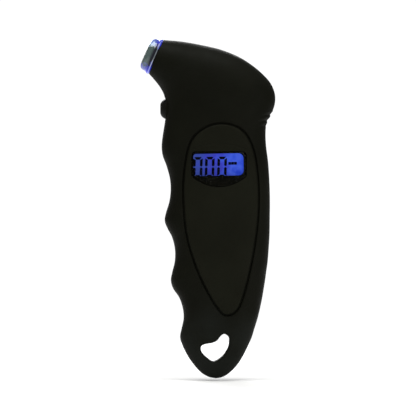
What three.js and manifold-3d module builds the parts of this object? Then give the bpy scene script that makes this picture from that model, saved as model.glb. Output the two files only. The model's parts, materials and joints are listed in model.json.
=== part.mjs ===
// Digital tire pressure gauge: a two-shell handle with a lit nozzle, a display panel,
// a side button and a coin-cell bay. Millimetres, +Z up the handle, display towards -Y,
// nozzle towards -X, origin at the centre of the whole gauge.
import * as THREE from 'three';
import { LoftGeometry } from 'three/addons/geometries/LoftGeometry.js';
import { mergeVertices } from 'three/addons/utils/BufferGeometryUtils.js';
import Module from 'manifold-3d';

const wasm = await Module();
wasm.setup();

// ---------------------------------------------------------------- driving dimensions

// The case outline as ribs, from the nozzle to the lanyard end:
// [left x, left z, right x, right z, half depth].
const RIBS = [
  [-26.9, 61.1, -20.2, 76.5, 8.4],
  [-24.4, 58.3, -12.0, 75.8, 9.8],
  [-22.0, 55.2, -3.5, 74.3, 11.1],
  [-20.3, 52.2, 5.5, 72.2, 12.2],
  [-19.6, 49.6, 13.4, 69.1, 13.0],
  [-19.3, 47.0, 19.6, 65.3, 13.5],
  [-19.2, 44.6, 24.8, 61.0, 13.8],
  [-19.3, 42.0, 28.6, 56.6, 14.0],
  [-19.6, 39.4, 30.5, 51.6, 14.0],
  [-20.1, 36.2, 30.3, 46.8, 14.0],
  [-20.7, 32.4, 28.7, 42.6, 14.0],
  [-21.1, 28.0, 26.7, 38.4, 14.0],
  [-20.6, 23.8, 26.2, 33.6, 14.0],
  [-18.9, 19.2, 26.5, 27.8, 14.0],
  [-17.4, 13.6, 27.3, 21.6, 14.0],
  [-17.0, 8.4, 27.8, 15.2, 14.0],
  [-17.6, 3.0, 28.1, 8.6, 14.0],
  [-19.1, -2.0, 28.2, 2.4, 14.0],
  [-19.7, -5.8, 28.15, -3.0, 14.0],
  [-18.4, -9.4, 28.1, -7.8, 14.0],
  [-16.4, -13.2, 28.0, -12.4, 14.0],
  [-15.1, -18.5, 27.65, -18.2, 13.9],
  [-15.1, -24.0, 27.2, -24.0, 13.8],
  [-16.3, -29.2, 26.5, -29.2, 13.5],
  [-16.9, -32.9, 26.0, -32.9, 13.2],
  [-15.9, -36.6, 25.4, -36.6, 12.8],
  [-13.1, -40.8, 24.7, -40.8, 12.3],
  [-11.5, -45.6, 23.7, -45.6, 11.6],
  [-11.1, -50.2, 22.6, -50.2, 10.8],
  [-12.0, -54.7, 21.2, -54.7, 10.0],
  [-12.7, -58.6, 20.0, -58.6, 9.3],
  [-11.7, -62.4, 18.4, -62.4, 8.6],
  [-9.3, -67.2, 16.0, -67.2, 7.6],
  [-6.4, -71.4, 13.3, -71.4, 6.3],
  [-3.0, -75.0, 9.8, -75.0, 4.4],
  [0.4, -76.9, 6.7, -76.9, 2.4],
  [3.3, -77.5, 3.9, -77.5, 0.4],
];
const FRONT_DEPTH_SCALE = 13.6 / 14;
const BACK_DEPTH_SCALE = 14.9 / 14;
const BACK_LAND_Y = 14.0; // the back is flat here, and lies steady on a table
const STATIONS_PER_RIB = 1.1;
const CAVITY_STATIONS_PER_RIB = 0.6;
const SECTION_POINTS = 16;

const WALL = 2.6;
const HALF_PARTING_GAP = 0.15;
const GAP = 0.3;
const FAR = 100; // clear of the gauge in every direction
const CAVITY_FIRST_RIB = 1.6;
const CAVITY_LAST_RIB = 28.2;

// Nozzle: its axis leaves the head to the left and upwards.
const NOZZLE_TILT = THREE.MathUtils.degToRad(23.5);
const NOZZLE_CENTRE = new THREE.Vector3(-23.55, 0, 68.8);
const NOZZLE_SEAT_RADIUS = 6.9;
const NOZZLE_SEAT_DEPTH = 10.0;
const SOCKET_RADIUS = 4.3;

// Face panel, its window and the visible part of the display: outlines as [x, z].
const PANEL_OUTLINE = [
  [6.6, 38.2], [14.9, 35.5], [20.0, 27.8], [22.4, 15.0], [22.8, 0.0], [21.3, -15.2],
  [18.2, -31.2], [14.8, -43.0], [12.0, -47.2], [8.8, -48.4], [5.7, -46.9], [0.6, -39.3],
  [-5.4, -26.6], [-9.6, -12.0], [-11.1, 4.0], [-10.5, 18.0], [-7.7, 30.0], [-1.5, 36.1],
];
const PANEL_PROUD = 0.4;
const PANEL_BACK = 1.0;
const PANEL_RECESS = 1.3;
const WINDOW = { left: -7.8, right: 18.1, top: 26.1, side: 14.6, smile: 4.7, corner: 1.8 };
const VISIBLE = { left: -7.0, right: 16.7, bottom: 14.7, top: 25.1, corner: 1.4 };
const LCD = { left: -8.0, right: 17.7, bottom: 12.6, top: 26.2, front: -10.8, back: -8.8 };
const LCD_STACK_Y = { top: -8.5, backlight: -6.0, zebra: -5.3 };

const LANYARD_HOLE = [
  [7.4, -56.9], [9.5, -58.3], [9.8, -61.0], [9.0, -64.2], [6.4, -67.8], [2.4, -70.0],
  [-0.6, -68.4], [-3.2, -65.6], [-3.3, -62.8], [-1.4, -61.6], [1.8, -61.0], [4.0, -59.9],
  [5.5, -58.0],
];

// Button on the left edge, pushed towards +X.
const BUTTON_Z = 45.1;
const BUTTON_RADIUS = 4.7;
const BUTTON_TIP_X = -21.8;

// Circuit board and what it carries.
const BOARD_FRONT_Y = -5.0;
const BOARD_BACK_Y = -3.4;
const BOARD_OUTLINE = [
  [-8, -20], [17, -20], [17, 8], [19, 12], [19, 36], [14, 41], [-5, 41], [-5, 49],
  [-13, 49], [-13, 14], [-8, 8],
];
const BOARD_SCREWS = [[-9.5, 33], [15.5, 33.5], [-3, -13]];
const BOARD_SCREW_HOLE_RADIUS = 1.2;
const BOARD_BOSS_RADIUS = 2.4;
const SENSOR_PORT = new THREE.Vector3(7, 1, 40.4);

// Screws that close the case, driven from the back.
const CASE_SCREWS = [[20, 56], [-1, 65.5], [-12.3, 3], [22, 0], [7, -46]];
const SCREW_HEAD_RADIUS = 2.7;
const SCREW_HEAD_Y = [6.2, 8.2];
const SCREW_SHAFT_RADIUS = 1.3;
const SCREW_TIP_Y = -8;
const FRONT_BOSS_RADIUS = 3.0;
const BACK_BOSS_RADIUS = 4.6;
const COUNTERBORE_RADIUS = 3.1;

// Coin-cell bay in the back.
const BAY = { x: 6, z: -22, tubRadius: 14.2, boreRadius: 11.2, recessRadius: 13.0 };
const BAY_Y = { tubBottom: 3.4, floor: 4.8, slot: 9.1, ledge: 10.4, recess: 11.1 };
const CELL = { radius: 10, bottom: 5.8, top: 9.0 };
const COVER = { radius: 12.7, skirtOuter: 10.9, skirtInner: 9.6, bottom: 12.3, top: 13.4 };
const COVER_LUG = { halfAngle: 15, outer: 12.3, bottom: 9.3, top: 10.1 };
const COVER_TURN_DEGREES = 35;

// ---------------------------------------------------------------- solids and meshes

/** A closed geometry as a solid, turned right side out if its faces point inwards. */
function solid(geometry, matrix) {
  const bare = new THREE.BufferGeometry();
  bare.setAttribute('position', geometry.getAttribute('position').clone());
  bare.setIndex(geometry.getIndex());
  const merged = mergeVertices(bare, 1e-4);
  if (matrix) merged.applyMatrix4(matrix);
  const triangles = Uint32Array.from(merged.index.array);
  const make = () => new wasm.Manifold(new wasm.Mesh({
    numProp: 3,
    vertProperties: merged.attributes.position.array,
    triVerts: triangles,
  }));
  const first = make();
  if (first.volume() > 0) return first;
  for (let i = 0; i < triangles.length; i += 3) {
    [triangles[i + 1], triangles[i + 2]] = [triangles[i + 2], triangles[i + 1]];
  }
  return make();
}

function toGeometry(manifold) {
  const mesh = manifold.getMesh();
  const geometry = new THREE.BufferGeometry();
  geometry.setAttribute('position', new THREE.BufferAttribute(mesh.vertProperties, 3));
  geometry.setIndex(new THREE.BufferAttribute(mesh.triVerts, 1));
  geometry.computeVertexNormals();
  return geometry;
}

function material(color, roughness, metalness = 0, extra = {}) {
  return new THREE.MeshStandardMaterial({ color, roughness, metalness, ...extra });
}

const gauge = new THREE.Group();

function addPart(parent, name, manifold, finish) {
  const mesh = new THREE.Mesh(toGeometry(manifold), finish);
  mesh.name = name;
  parent.add(mesh);
  return mesh;
}

// ---------------------------------------------------------------- shape helpers

function move(x, y, z) {
  return new THREE.Matrix4().makeTranslation(x, y, z);
}

/** A smooth closed outline through [x, z] points. */
function smoothShape(points, divisions = 3) {
  const curve = new THREE.CatmullRomCurve3(
    points.map(([x, z]) => new THREE.Vector3(x, z, 0)), true, 'catmullrom', 0.5);
  const loop = curve.getPoints(points.length * divisions).slice(0, -1);
  return new THREE.Shape(loop.map((p) => new THREE.Vector2(p.x, p.y)));
}

function polygonShape(points) {
  return new THREE.Shape(points.map(([x, z]) => new THREE.Vector2(x, z)));
}

function roundedRectangle(left, bottom, right, top, corner) {
  const shape = new THREE.Shape();
  shape.moveTo(left + corner, bottom);
  shape.lineTo(right - corner, bottom);
  shape.absarc(right - corner, bottom + corner, corner, -Math.PI / 2, 0, false);
  shape.lineTo(right, top - corner);
  shape.absarc(right - corner, top - corner, corner, 0, Math.PI / 2, false);
  shape.lineTo(left + corner, top);
  shape.absarc(left + corner, top - corner, corner, Math.PI / 2, Math.PI, false);
  shape.lineTo(left, bottom + corner);
  shape.absarc(left + corner, bottom + corner, corner, Math.PI, Math.PI * 1.5, false);
  return shape;
}

/** An annular sector about the origin; angles in degrees from +x towards +z. */
function sectorShape(inner, outer, fromDegrees, toDegrees) {
  const from = THREE.MathUtils.degToRad(fromDegrees);
  const to = THREE.MathUtils.degToRad(toDegrees);
  const shape = new THREE.Shape();
  shape.absarc(0, 0, outer, from, to, false);
  shape.absarc(0, 0, inner, to, from, true);
  return shape;
}

/** An [x, z] outline extruded along Y, from yLow to yHigh. */
function prism(shape, yLow, yHigh, curveSegments = 4) {
  const geometry = new THREE.ExtrudeGeometry(shape, {
    depth: yHigh - yLow, bevelEnabled: false, curveSegments,
  });
  geometry.rotateX(Math.PI / 2);
  geometry.translate(0, yHigh, 0);
  return solid(geometry);
}

/** A cylinder along Y. */
function post(x, z, radius, yLow, yHigh, sides = 16) {
  const geometry = new THREE.CylinderGeometry(radius, radius, yHigh - yLow, sides);
  return solid(geometry, move(x, (yLow + yHigh) / 2, z));
}

function ring(x, z, inner, outer, yLow, yHigh, sides = 24) {
  return post(x, z, outer, yLow, yHigh, sides)
    .subtract(post(x, z, inner, yLow - 1, yHigh + 1, sides));
}

function block(xRange, yRange, zRange) {
  const size = [xRange, yRange, zRange].map(([low, high]) => high - low);
  const centre = [xRange, yRange, zRange].map(([low, high]) => (low + high) / 2);
  return solid(new THREE.BoxGeometry(...size), move(...centre));
}

/** A solid of revolution about Y, from [radius, y] points that close on themselves. */
function turned(profile, sides = 24) {
  const points = profile.map(([radius, y]) => new THREE.Vector2(radius, y));
  if (profile[0][0] > 0) points.push(points[0].clone());
  return solid(new THREE.LatheGeometry(points, sides));
}

/** A tube or rod along a smooth path. */
function alongPath(points, outer, inner, sides, steps) {
  const section = new THREE.Shape();
  section.absarc(0, 0, outer, 0, Math.PI * 2, false);
  if (inner > 0) {
    const hole = new THREE.Path();
    hole.absarc(0, 0, inner, 0, Math.PI * 2, true);
    section.holes.push(hole);
  }
  const path = new THREE.CatmullRomCurve3(points.map((p) => new THREE.Vector3(...p)));
  return solid(new THREE.ExtrudeGeometry(section, {
    steps, extrudePath: path, curveSegments: sides, bevelEnabled: false,
  }));
}

// ---------------------------------------------------------------- case surface

const leftEdge = new THREE.CatmullRomCurve3(
  RIBS.map(([x, z]) => new THREE.Vector3(x, 0, z)), false, 'catmullrom', 0.5);
const rightEdge = new THREE.CatmullRomCurve3(
  RIBS.map(([, , x, z]) => new THREE.Vector3(x, 0, z)), false, 'catmullrom', 0.5);
const depthCurve = new THREE.CatmullRomCurve3(
  RIBS.map((rib, i) => new THREE.Vector3(i, rib[4], 0)), false, 'catmullrom', 0.5);

/** Sections are round at the nozzle, squarer in the grip and soft again at the tip. */
function squareness(rib) {
  const intoHead = THREE.MathUtils.smoothstep(rib, 0, 9);
  const intoTip = THREE.MathUtils.smoothstep(rib, 26, 34);
  return 2 + 1.0 * intoHead - 0.75 * intoTip;
}

/** One closed section of the case, grown outwards by `grow` (negative goes inwards). */
function caseSection(rib, grow) {
  const t = rib / (RIBS.length - 1);
  const left = leftEdge.getPoint(t);
  const right = rightEdge.getPoint(t);
  const centre = left.clone().add(right).multiplyScalar(0.5);
  const across = right.clone().sub(left).normalize();
  const halfWidth = left.distanceTo(right) / 2 + grow;
  const halfDepth = depthCurve.getPoint(t).y;
  const power = 2 / squareness(rib);
  const points = [];
  for (let i = 0; i < SECTION_POINTS; i += 1) {
    const angle = (-i / SECTION_POINTS) * Math.PI * 2;
    const c = Math.cos(angle);
    const s = Math.sin(angle);
    const u = Math.sign(c) * Math.abs(c) ** power;
    const v = Math.sign(s) * Math.abs(s) ** power;
    const scale = v < 0 ? FRONT_DEPTH_SCALE : BACK_DEPTH_SCALE;
    const reach = halfDepth * THREE.MathUtils.lerp(1, scale, Math.min(rib / 6, 1));
    const point = centre.clone().addScaledVector(across, u * halfWidth);
    point.y = v * (reach + grow);
    points.push(point);
  }
  return points;
}

/** The case's outer form, or a form parallel to it, between two ribs. */
function caseForm(grow, firstRib = 0, lastRib = RIBS.length - 1, stations = STATIONS_PER_RIB) {
  const steps = Math.ceil((lastRib - firstRib) * stations);
  const sections = [];
  for (let i = 0; i <= steps; i += 1) {
    sections.push(caseSection(firstRib + ((lastRib - firstRib) * i) / steps, grow));
  }
  return solid(new LoftGeometry(sections, { closed: true, capStart: true, capEnd: true }));
}

const backLandLimit = block([-FAR, FAR], [-FAR, BACK_LAND_Y], [-FAR, FAR]);
const outerForm = caseForm(0).intersect(backLandLimit);
const cavityForm = caseForm(-WALL, CAVITY_FIRST_RIB, CAVITY_LAST_RIB, CAVITY_STATIONS_PER_RIB)
  .intersect(block([-FAR, FAR], [-FAR, BACK_LAND_Y - WALL], [-FAR, FAR]));
const frontHalf = block([-FAR, FAR], [-FAR, -HALF_PARTING_GAP], [-FAR, FAR]);
const backHalf = block([-FAR, FAR], [HALF_PARTING_GAP, FAR], [-FAR, FAR]);

// ---------------------------------------------------------------- nozzle frame

const nozzleGroup = new THREE.Group();
nozzleGroup.position.copy(NOZZLE_CENTRE);
nozzleGroup.quaternion.setFromUnitVectors(
  new THREE.Vector3(0, 1, 0),
  new THREE.Vector3(-Math.cos(NOZZLE_TILT), 0, Math.sin(NOZZLE_TILT)));
nozzleGroup.updateMatrix();
gauge.add(nozzleGroup);

/** A cylinder on the nozzle's axis, between two distances from the flange, in the gauge's frame. */
function nozzleCylinder(radius, from, to) {
  const geometry = new THREE.CylinderGeometry(radius, radius, to - from, 24);
  geometry.translate(0, (from + to) / 2, 0);
  return solid(geometry, nozzleGroup.matrix);
}

// ---------------------------------------------------------------- case shells

const softBlack = material(0x161612, 0.62);
const panelBlack = material(0x1d1d17, 0.7);

const lanyardCutter = prism(smoothShape(LANYARD_HOLE, 3), -20, 20);
const nozzleSeat = nozzleCylinder(NOZZLE_SEAT_RADIUS, -NOZZLE_SEAT_DEPTH, 2)
  .add(nozzleCylinder(NOZZLE_SEAT_RADIUS - 1, -NOZZLE_SEAT_DEPTH - 6, 0));
const buttonHole = solid(
  new THREE.CylinderGeometry(BUTTON_RADIUS + GAP, BUTTON_RADIUS + GAP, 12, 20).rotateZ(Math.PI / 2),
  move(-20, 0, BUTTON_Z));

function cutAll(body, cutters) {
  return cutters.reduce((rest, cutter) => rest.subtract(cutter), body);
}

function joinAll(body, additions) {
  return additions.reduce((whole, piece) => whole.add(piece), body);
}

function windowShape(grow) {
  const left = WINDOW.left - grow;
  const right = WINDOW.right + grow;
  const top = WINDOW.top + grow;
  const shape = new THREE.Shape();
  shape.moveTo(left, WINDOW.side - grow * 0.4);
  shape.quadraticCurveTo((left + right) / 2, WINDOW.smile - grow, right, WINDOW.side - grow * 0.4);
  shape.lineTo(right, top - WINDOW.corner);
  shape.absarc(right - WINDOW.corner, top - WINDOW.corner, WINDOW.corner, 0, Math.PI / 2, false);
  shape.lineTo(left + WINDOW.corner, top);
  shape.absarc(left + WINDOW.corner, top - WINDOW.corner, WINDOW.corner, Math.PI / 2, Math.PI, false);
  return shape;
}

function panelShape(grow) {
  const middle = new THREE.Vector2(6, 2);
  const grown = PANEL_OUTLINE.map(([x, z]) => {
    const out = new THREE.Vector2(x, z).sub(middle);
    out.setLength(out.length() + grow).add(middle);
    return [out.x, out.y];
  });
  return smoothShape(grown, 3);
}

function makeFrontShell() {
  const recess = prism(panelShape(GAP * 1.4), -FAR, -1).subtract(caseForm(-PANEL_RECESS));
  const lcdHole = block(
    [LCD.left - GAP, LCD.right + GAP], [-FAR, LCD.back + GAP], [LCD.bottom - GAP, LCD.top + GAP]);
  const caseBosses = CASE_SCREWS.map(([x, z]) => post(x, z, FRONT_BOSS_RADIUS, -13, -HALF_PARTING_GAP));
  const caseHoles = CASE_SCREWS.map(
    ([x, z]) => post(x, z, SCREW_SHAFT_RADIUS + GAP, SCREW_TIP_Y - GAP, 1, 12));
  const boardBosses = BOARD_SCREWS.map(
    ([x, z]) => post(x, z, BOARD_BOSS_RADIUS, -13, BOARD_FRONT_Y - GAP));
  const boardHoles = BOARD_SCREWS.map(
    ([x, z]) => post(x, z, BOARD_SCREW_HOLE_RADIUS, -9.3, 0, 10));
  const shell = cutAll(outerForm, [cavityForm]);
  const bosses = joinAll(caseBosses[0], [...caseBosses.slice(1), ...boardBosses])
    .intersect(caseForm(-WALL / 2));
  return cutAll(
    shell.add(bosses).intersect(frontHalf),
    [recess, lcdHole, lanyardCutter, nozzleSeat, buttonHole, ...caseHoles, ...boardHoles]);
}

function bayPost(radius, yLow, yHigh, sides = 32) {
  return post(BAY.x, BAY.z, radius, yLow, yHigh, sides);
}

function baySector(inner, outer, fromDegrees, toDegrees, yLow, yHigh) {
  return prism(sectorShape(inner, outer, fromDegrees, toDegrees), yLow, yHigh, 6)
    .transform(move(BAY.x, 0, BAY.z).elements);
}

/** Slots that the cover's two lugs turn in, and the notches that they drop through. */
function bayonetCuts() {
  const spread = COVER_LUG.halfAngle + 3;
  return [0, 180].flatMap((side) => [
    baySector(8, COVER_LUG.outer + GAP, side - spread - COVER_TURN_DEGREES, side + spread,
      BAY_Y.slot, BAY_Y.ledge),
    baySector(8, COVER_LUG.outer + GAP, side - spread - COVER_TURN_DEGREES,
      side + spread - COVER_TURN_DEGREES, BAY_Y.ledge - 1, BAY_Y.recess + 1),
  ]);
}

function makeBackShell() {
  const bosses = CASE_SCREWS.map(([x, z]) => post(x, z, BACK_BOSS_RADIUS, HALF_PARTING_GAP, 13));
  const counterbores = CASE_SCREWS.map(
    ([x, z]) => post(x, z, COUNTERBORE_RADIUS, SCREW_HEAD_Y[0] - GAP, FAR));
  const shaftHoles = CASE_SCREWS.map(([x, z]) => post(x, z, SCREW_SHAFT_RADIUS + GAP, -1, 8, 12));
  const tub = bayPost(BAY.tubRadius, BAY_Y.tubBottom, 13);
  const bore = bayPost(BAY.boreRadius, BAY_Y.floor, FAR);
  const recess = bayPost(BAY.recessRadius, BAY_Y.recess, FAR);
  const shell = cutAll(outerForm, [cavityForm]);
  const inside = joinAll(tub, bosses).intersect(caseForm(-WALL / 2)).intersect(backLandLimit);
  const legHoles = [negativeLeg(GAP), positiveLeg(GAP)];
  return cutAll(
    shell.add(inside).intersect(backHalf),
    [bore, recess, ...bayonetCuts(), ...counterbores, ...shaftHoles, ...legHoles,
      lanyardCutter, nozzleSeat, buttonHole]);
}

// ---------------------------------------------------------------- coin-cell contacts

/** A contact's leg, from the bay down to the board; `grow` makes the hole it passes through. */
function negativeLeg(grow) {
  return block(
    [BAY.x - 1 - grow, BAY.x + 1 + grow],
    [BOARD_BACK_Y + GAP, CELL.bottom - GAP],
    [BAY.z + 5 - 0.25 - grow, BAY.z + 5 + 0.25 + grow]);
}

function positiveLeg(grow) {
  return block(
    [BAY.x - 1 - grow, BAY.x + 1 + grow],
    [BOARD_BACK_Y + GAP, CELL.bottom],
    [BAY.z + 10.3 - grow, BAY.z + 10.8 + grow]);
}

function makeNegativeContact() {
  const bottom = CELL.bottom - GAP - 0.4;
  const hub = bayPost(3, bottom, CELL.bottom - GAP, 16);
  const arms = [0, 120, 240].map((turn) => {
    const arm = block([-1.5, 1.5], [bottom, CELL.bottom - GAP], [0, 8]);
    const place = new THREE.Matrix4()
      .makeRotationY(THREE.MathUtils.degToRad(turn))
      .premultiply(move(BAY.x, 0, BAY.z));
    return arm.transform(place.elements);
  });
  return joinAll(hub, [...arms, negativeLeg(0)]);
}

function makePositiveContact() {
  const band = baySector(10.3, 10.8, 60, 120, CELL.bottom - 0.4, CELL.top - GAP);
  return band.add(positiveLeg(0));
}

// ---------------------------------------------------------------- building the parts

addPart(gauge, 'front_shell', makeFrontShell(), softBlack);
addPart(gauge, 'back_shell', makeBackShell(), softBlack);

/** A sheet that follows the front of the case, between two depths, inside an outline. */
function frontSheet(shape, outerGrow, innerGrow) {
  return caseForm(outerGrow).intersect(prism(shape, -FAR, -2)).subtract(caseForm(innerGrow));
}

const panel = frontSheet(panelShape(0), PANEL_PROUD, -PANEL_BACK)
  .subtract(prism(windowShape(GAP), -FAR, 0));
addPart(gauge, 'face_panel', panel, panelBlack);

const clear = material(0xdfe8ff, 0.08, 0, { transparent: true, opacity: 0.35 });
addPart(gauge, 'display_window', frontSheet(windowShape(0), 0.25, -0.55), clear);

const visibleShape = roundedRectangle(
  VISIBLE.left, VISIBLE.bottom, VISIBLE.right, VISIBLE.top, VISIBLE.corner);
const mask = frontSheet(windowShape(0), -0.85, -1.2).subtract(prism(visibleShape, -FAR, 0));
addPart(gauge, 'display_mask', mask, material(0x050505, 0.25));

const lcdCell = block([LCD.left, LCD.right], [LCD.front, LCD.back], [LCD.bottom, LCD.top]);
addPart(gauge, 'lcd_cell', lcdCell, material(0x3a4fe0, 0.2));

const backlight = block(
  [LCD.left, LCD.right], [LCD_STACK_Y.top, LCD_STACK_Y.backlight], [LCD.bottom + 2, LCD.top]);
addPart(gauge, 'lcd_backlight', backlight, material(0xd8e0ff, 0.4));

const zebra = block(
  [LCD.left + 1, LCD.right - 1], [LCD_STACK_Y.top, LCD_STACK_Y.zebra],
  [LCD.bottom, LCD.bottom + 1.6]);
addPart(gauge, 'zebra_strip', zebra, material(0x30303a, 0.8));

function makeHolder() {
  const outer = prism(
    roundedRectangle(LCD.left - 1.6, LCD.bottom - 1.6, LCD.right + 1.6, LCD.top + 1.6, 1),
    -8.4, BOARD_FRONT_Y - GAP);
  const inner = block(
    [LCD.left - GAP, LCD.right + GAP], [-FAR, FAR], [LCD.bottom - GAP, LCD.top + GAP]);
  return outer.subtract(inner);
}
addPart(gauge, 'lcd_holder', makeHolder(), material(0xd9dad6, 0.6));

const boardHoles = BOARD_SCREWS.map(([x, z]) => post(x, z, BOARD_SCREW_HOLE_RADIUS, -10, 0, 10));
const board = cutAll(prism(polygonShape(BOARD_OUTLINE), BOARD_FRONT_Y, BOARD_BACK_Y), boardHoles);
addPart(gauge, 'circuit_board', board, material(0x1f5a33, 0.55));

const chip = turned([[0, 0], [4.2, 0], [3.9, 0.7], [2.8, 1.3], [0, 1.6]], 16)
  .transform(move(2.5, BOARD_BACK_Y + GAP, 1).elements);
addPart(gauge, 'controller_chip', chip, material(0x0d0d0d, 0.4));

function makeSensor() {
  const { x, y, z } = SENSOR_PORT;
  const body = block([x - 5, x + 5], [BOARD_BACK_Y + GAP, 3.6], [z - 13, z - 3]);
  const port = solid(new THREE.CylinderGeometry(1.2, 1.2, 8, 12).rotateX(Math.PI / 2), move(x, y, z));
  return body.add(port);
}
addPart(gauge, 'pressure_sensor', makeSensor(), material(0x23242a, 0.45));

// Air line from the nozzle's barb to the sensor's port.
const barbEnd = new THREE.Vector3(0, -11.6, 0).applyMatrix4(nozzleGroup.matrix);
const hosePath = [
  [barbEnd.x, barbEnd.y, barbEnd.z], [-8.8, -0.2, 62.2], [-3.8, -0.7, 58.3], [2.0, -0.4, 53.9],
  [5.9, 0.4, 49.6], [SENSOR_PORT.x, SENSOR_PORT.y, 44.8], [SENSOR_PORT.x, SENSOR_PORT.y, 41.2],
];
addPart(gauge, 'sensor_hose', alongPath(hosePath, 2.5, 1.5, 4, 12), material(0xe6e6e0, 0.5));

function makeHoseClip() {
  return turned([[2.8, -1.1], [3.7, -1.1], [3.7, 1.1], [2.8, 1.1]], 16);
}
const steel = material(0xb8bcc2, 0.3, 1);
const upperClip = addPart(nozzleGroup, 'hose_clip_upper', makeHoseClip(), steel);
upperClip.position.set(0, -12.9, 0);
const lowerClip = addPart(gauge, 'hose_clip_lower', makeHoseClip(), steel);
lowerClip.position.set(SENSOR_PORT.x, SENSOR_PORT.y, 42.7);
lowerClip.rotation.x = Math.PI / 2;

// ---------------------------------------------------------------- nozzle pieces

const lensProfile = [
  [5.5, -8.3], [6.6, -8.3], [6.6, 0.3], [8.6, 0.3], [8.6, 1.4], [7.75, 1.7], [7.75, 3.4],
  [6.9, 4.7], [5.9, 5.2], [4.6, 5.2], [4.6, 4.0], [5.5, 3.9],
];
addPart(nozzleGroup, 'nozzle_lens', turned(lensProfile, 24), clear);

const coreProfile = [
  [0.7, -13.6], [1.2, -13.6], [1.2, -9.0], [5.2, -9.0], [5.2, 3.6], [SOCKET_RADIUS, 3.6],
  [SOCKET_RADIUS, -7.4], [0.7, -7.4],
];
addPart(nozzleGroup, 'nozzle_core', turned(coreProfile, 20), material(0x17181c, 0.4));

const sealProfile = [[1.6, -6.0], [4.0, -6.0], [4.0, -3.9], [3.6, -3.4], [2.0, -3.4], [1.6, -3.9]];
addPart(nozzleGroup, 'valve_seal', turned(sealProfile, 20), material(0x101010, 0.85));

const pinProfile = [[0, -7.1], [3.4, -7.1], [3.4, -6.3], [0.8, -6.3], [0.8, -2.2], [0, -1.8]];
addPart(nozzleGroup, 'depressor_pin', turned(pinProfile, 16), material(0xc8a04a, 0.3, 1));

function makeRing(radius, thickness, sides) {
  return solid(new THREE.TorusGeometry(radius, thickness, 6, sides).rotateX(Math.PI / 2));
}
const oRing = addPart(nozzleGroup, 'core_o_ring', makeRing(6.05, 0.5, 18), material(0x0b0b0b, 0.9));
oRing.position.y = -9.15;

const LED_PROFILE = [[0, -2.6], [1.9, -2.6], [1.9, -1.9], [1.5, -1.9], [1.5, -0.6], [1.0, -0.1], [0, 0]];
const led = addPart(nozzleGroup, 'nozzle_led', turned(LED_PROFILE, 14), material(0x5a78ff, 0.2));
led.position.set(-2.0, -11.2, -6.4);

// ---------------------------------------------------------------- button and switch

function alongX(profile, sides) {
  const quarterTurn = new THREE.Matrix4().makeRotationZ(-Math.PI / 2);
  return turned(profile, sides).transform(quarterTurn.elements);
}
const rubber = material(0x121210, 0.75);
const buttonProfile = [
  [0, 0], [1.9, 0.15], [3.4, 0.75], [4.3, 1.6], [BUTTON_RADIUS, 2.7], [BUTTON_RADIUS, 6.7],
  [5.5, 6.7], [5.5, 7.3], [0, 7.3],
];
const button = addPart(gauge, 'power_button', alongX(buttonProfile, 24), rubber);
button.position.set(BUTTON_TIP_X, 0, BUTTON_Z);

const plunger = addPart(gauge, 'switch_plunger',
  alongX([[0, 0], [1.2, 0], [1.5, 0.3], [1.5, 3], [0, 3]], 14), material(0x202020, 0.5));
plunger.position.set(-14.3, 0, BUTTON_Z);

function makeSwitchBody() {
  const body = block([-12.2, -8.4], [BOARD_BACK_Y + GAP, 3.1], [BUTTON_Z - 3.1, BUTTON_Z + 3.1]);
  const bore = solid(
    new THREE.CylinderGeometry(1.8, 1.8, 4, 14).rotateZ(Math.PI / 2), move(-12.2, 0, BUTTON_Z));
  return body.subtract(bore);
}
addPart(gauge, 'switch_body', makeSwitchBody(), steel);

const ledTail = new THREE.Vector3(-2.0, -14.5, -6.4).applyMatrix4(nozzleGroup.matrix);
const ledCablePath = [
  [ledTail.x, ledTail.y, ledTail.z], [-9.5, -3.2, 54.5], [-4.5, -3.6, 50],
  [-2.5, -2.9, 45], [-2.2, -2.4, 40], [-2.2, -2.4, 36],
];
addPart(gauge, 'led_cable', alongPath(ledCablePath, 0.6, 0, 3, 14), material(0x8a1f1f, 0.6));

// ---------------------------------------------------------------- coin-cell bay

addPart(gauge, 'battery_cell', bayPost(CELL.radius, CELL.bottom, CELL.top), steel);
addPart(gauge, 'contact_negative', makeNegativeContact(), steel);
addPart(gauge, 'contact_positive', makePositiveContact(), steel);
addPart(gauge, 'cover_gasket',
  ring(BAY.x, BAY.z, 11.7, 12.6, BAY_Y.recess + GAP, COVER.bottom - GAP), rubber);

function makeBatteryCover() {
  const disc = bayPost(COVER.radius, COVER.bottom, COVER.top, 36);
  const skirt = ring(BAY.x, BAY.z, COVER.skirtInner, COVER.skirtOuter,
    COVER_LUG.bottom, COVER.bottom + 0.5);
  const lugs = [0, 180].map((side) => baySector(
    COVER.skirtInner + 0.4, COVER_LUG.outer, side - COVER_LUG.halfAngle,
    side + COVER_LUG.halfAngle, COVER_LUG.bottom, COVER_LUG.top));
  const coinSlot = block([BAY.x - 7.5, BAY.x + 7.5], [COVER.top - 0.7, FAR], [BAY.z - 1, BAY.z + 1]);
  return joinAll(disc, [skirt, ...lugs]).subtract(coinSlot);
}
addPart(gauge, 'battery_cover', makeBatteryCover(), softBlack);

// ---------------------------------------------------------------- fasteners

/** A pan-head screw along Y with its head at the top and a cross recess. */
function makeScrew(headRadius, headHeight, shaftRadius, shaftLength, recess) {
  const profile = [
    [0, -shaftLength], [shaftRadius * 0.5, -shaftLength], [shaftRadius, -shaftLength + 1.2],
    [shaftRadius, 0], [headRadius, 0], [headRadius, headHeight * 0.55],
    [headRadius * 0.72, headHeight], [0, headHeight],
  ];
  const half = headRadius * 0.6;
  const slots = [[half, recess], [recess, half]].map(
    ([x, z]) => block([-x, x], [headHeight * 0.5, headHeight + 1], [-z, z]));
  return cutAll(turned(profile, 10), slots);
}

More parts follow.
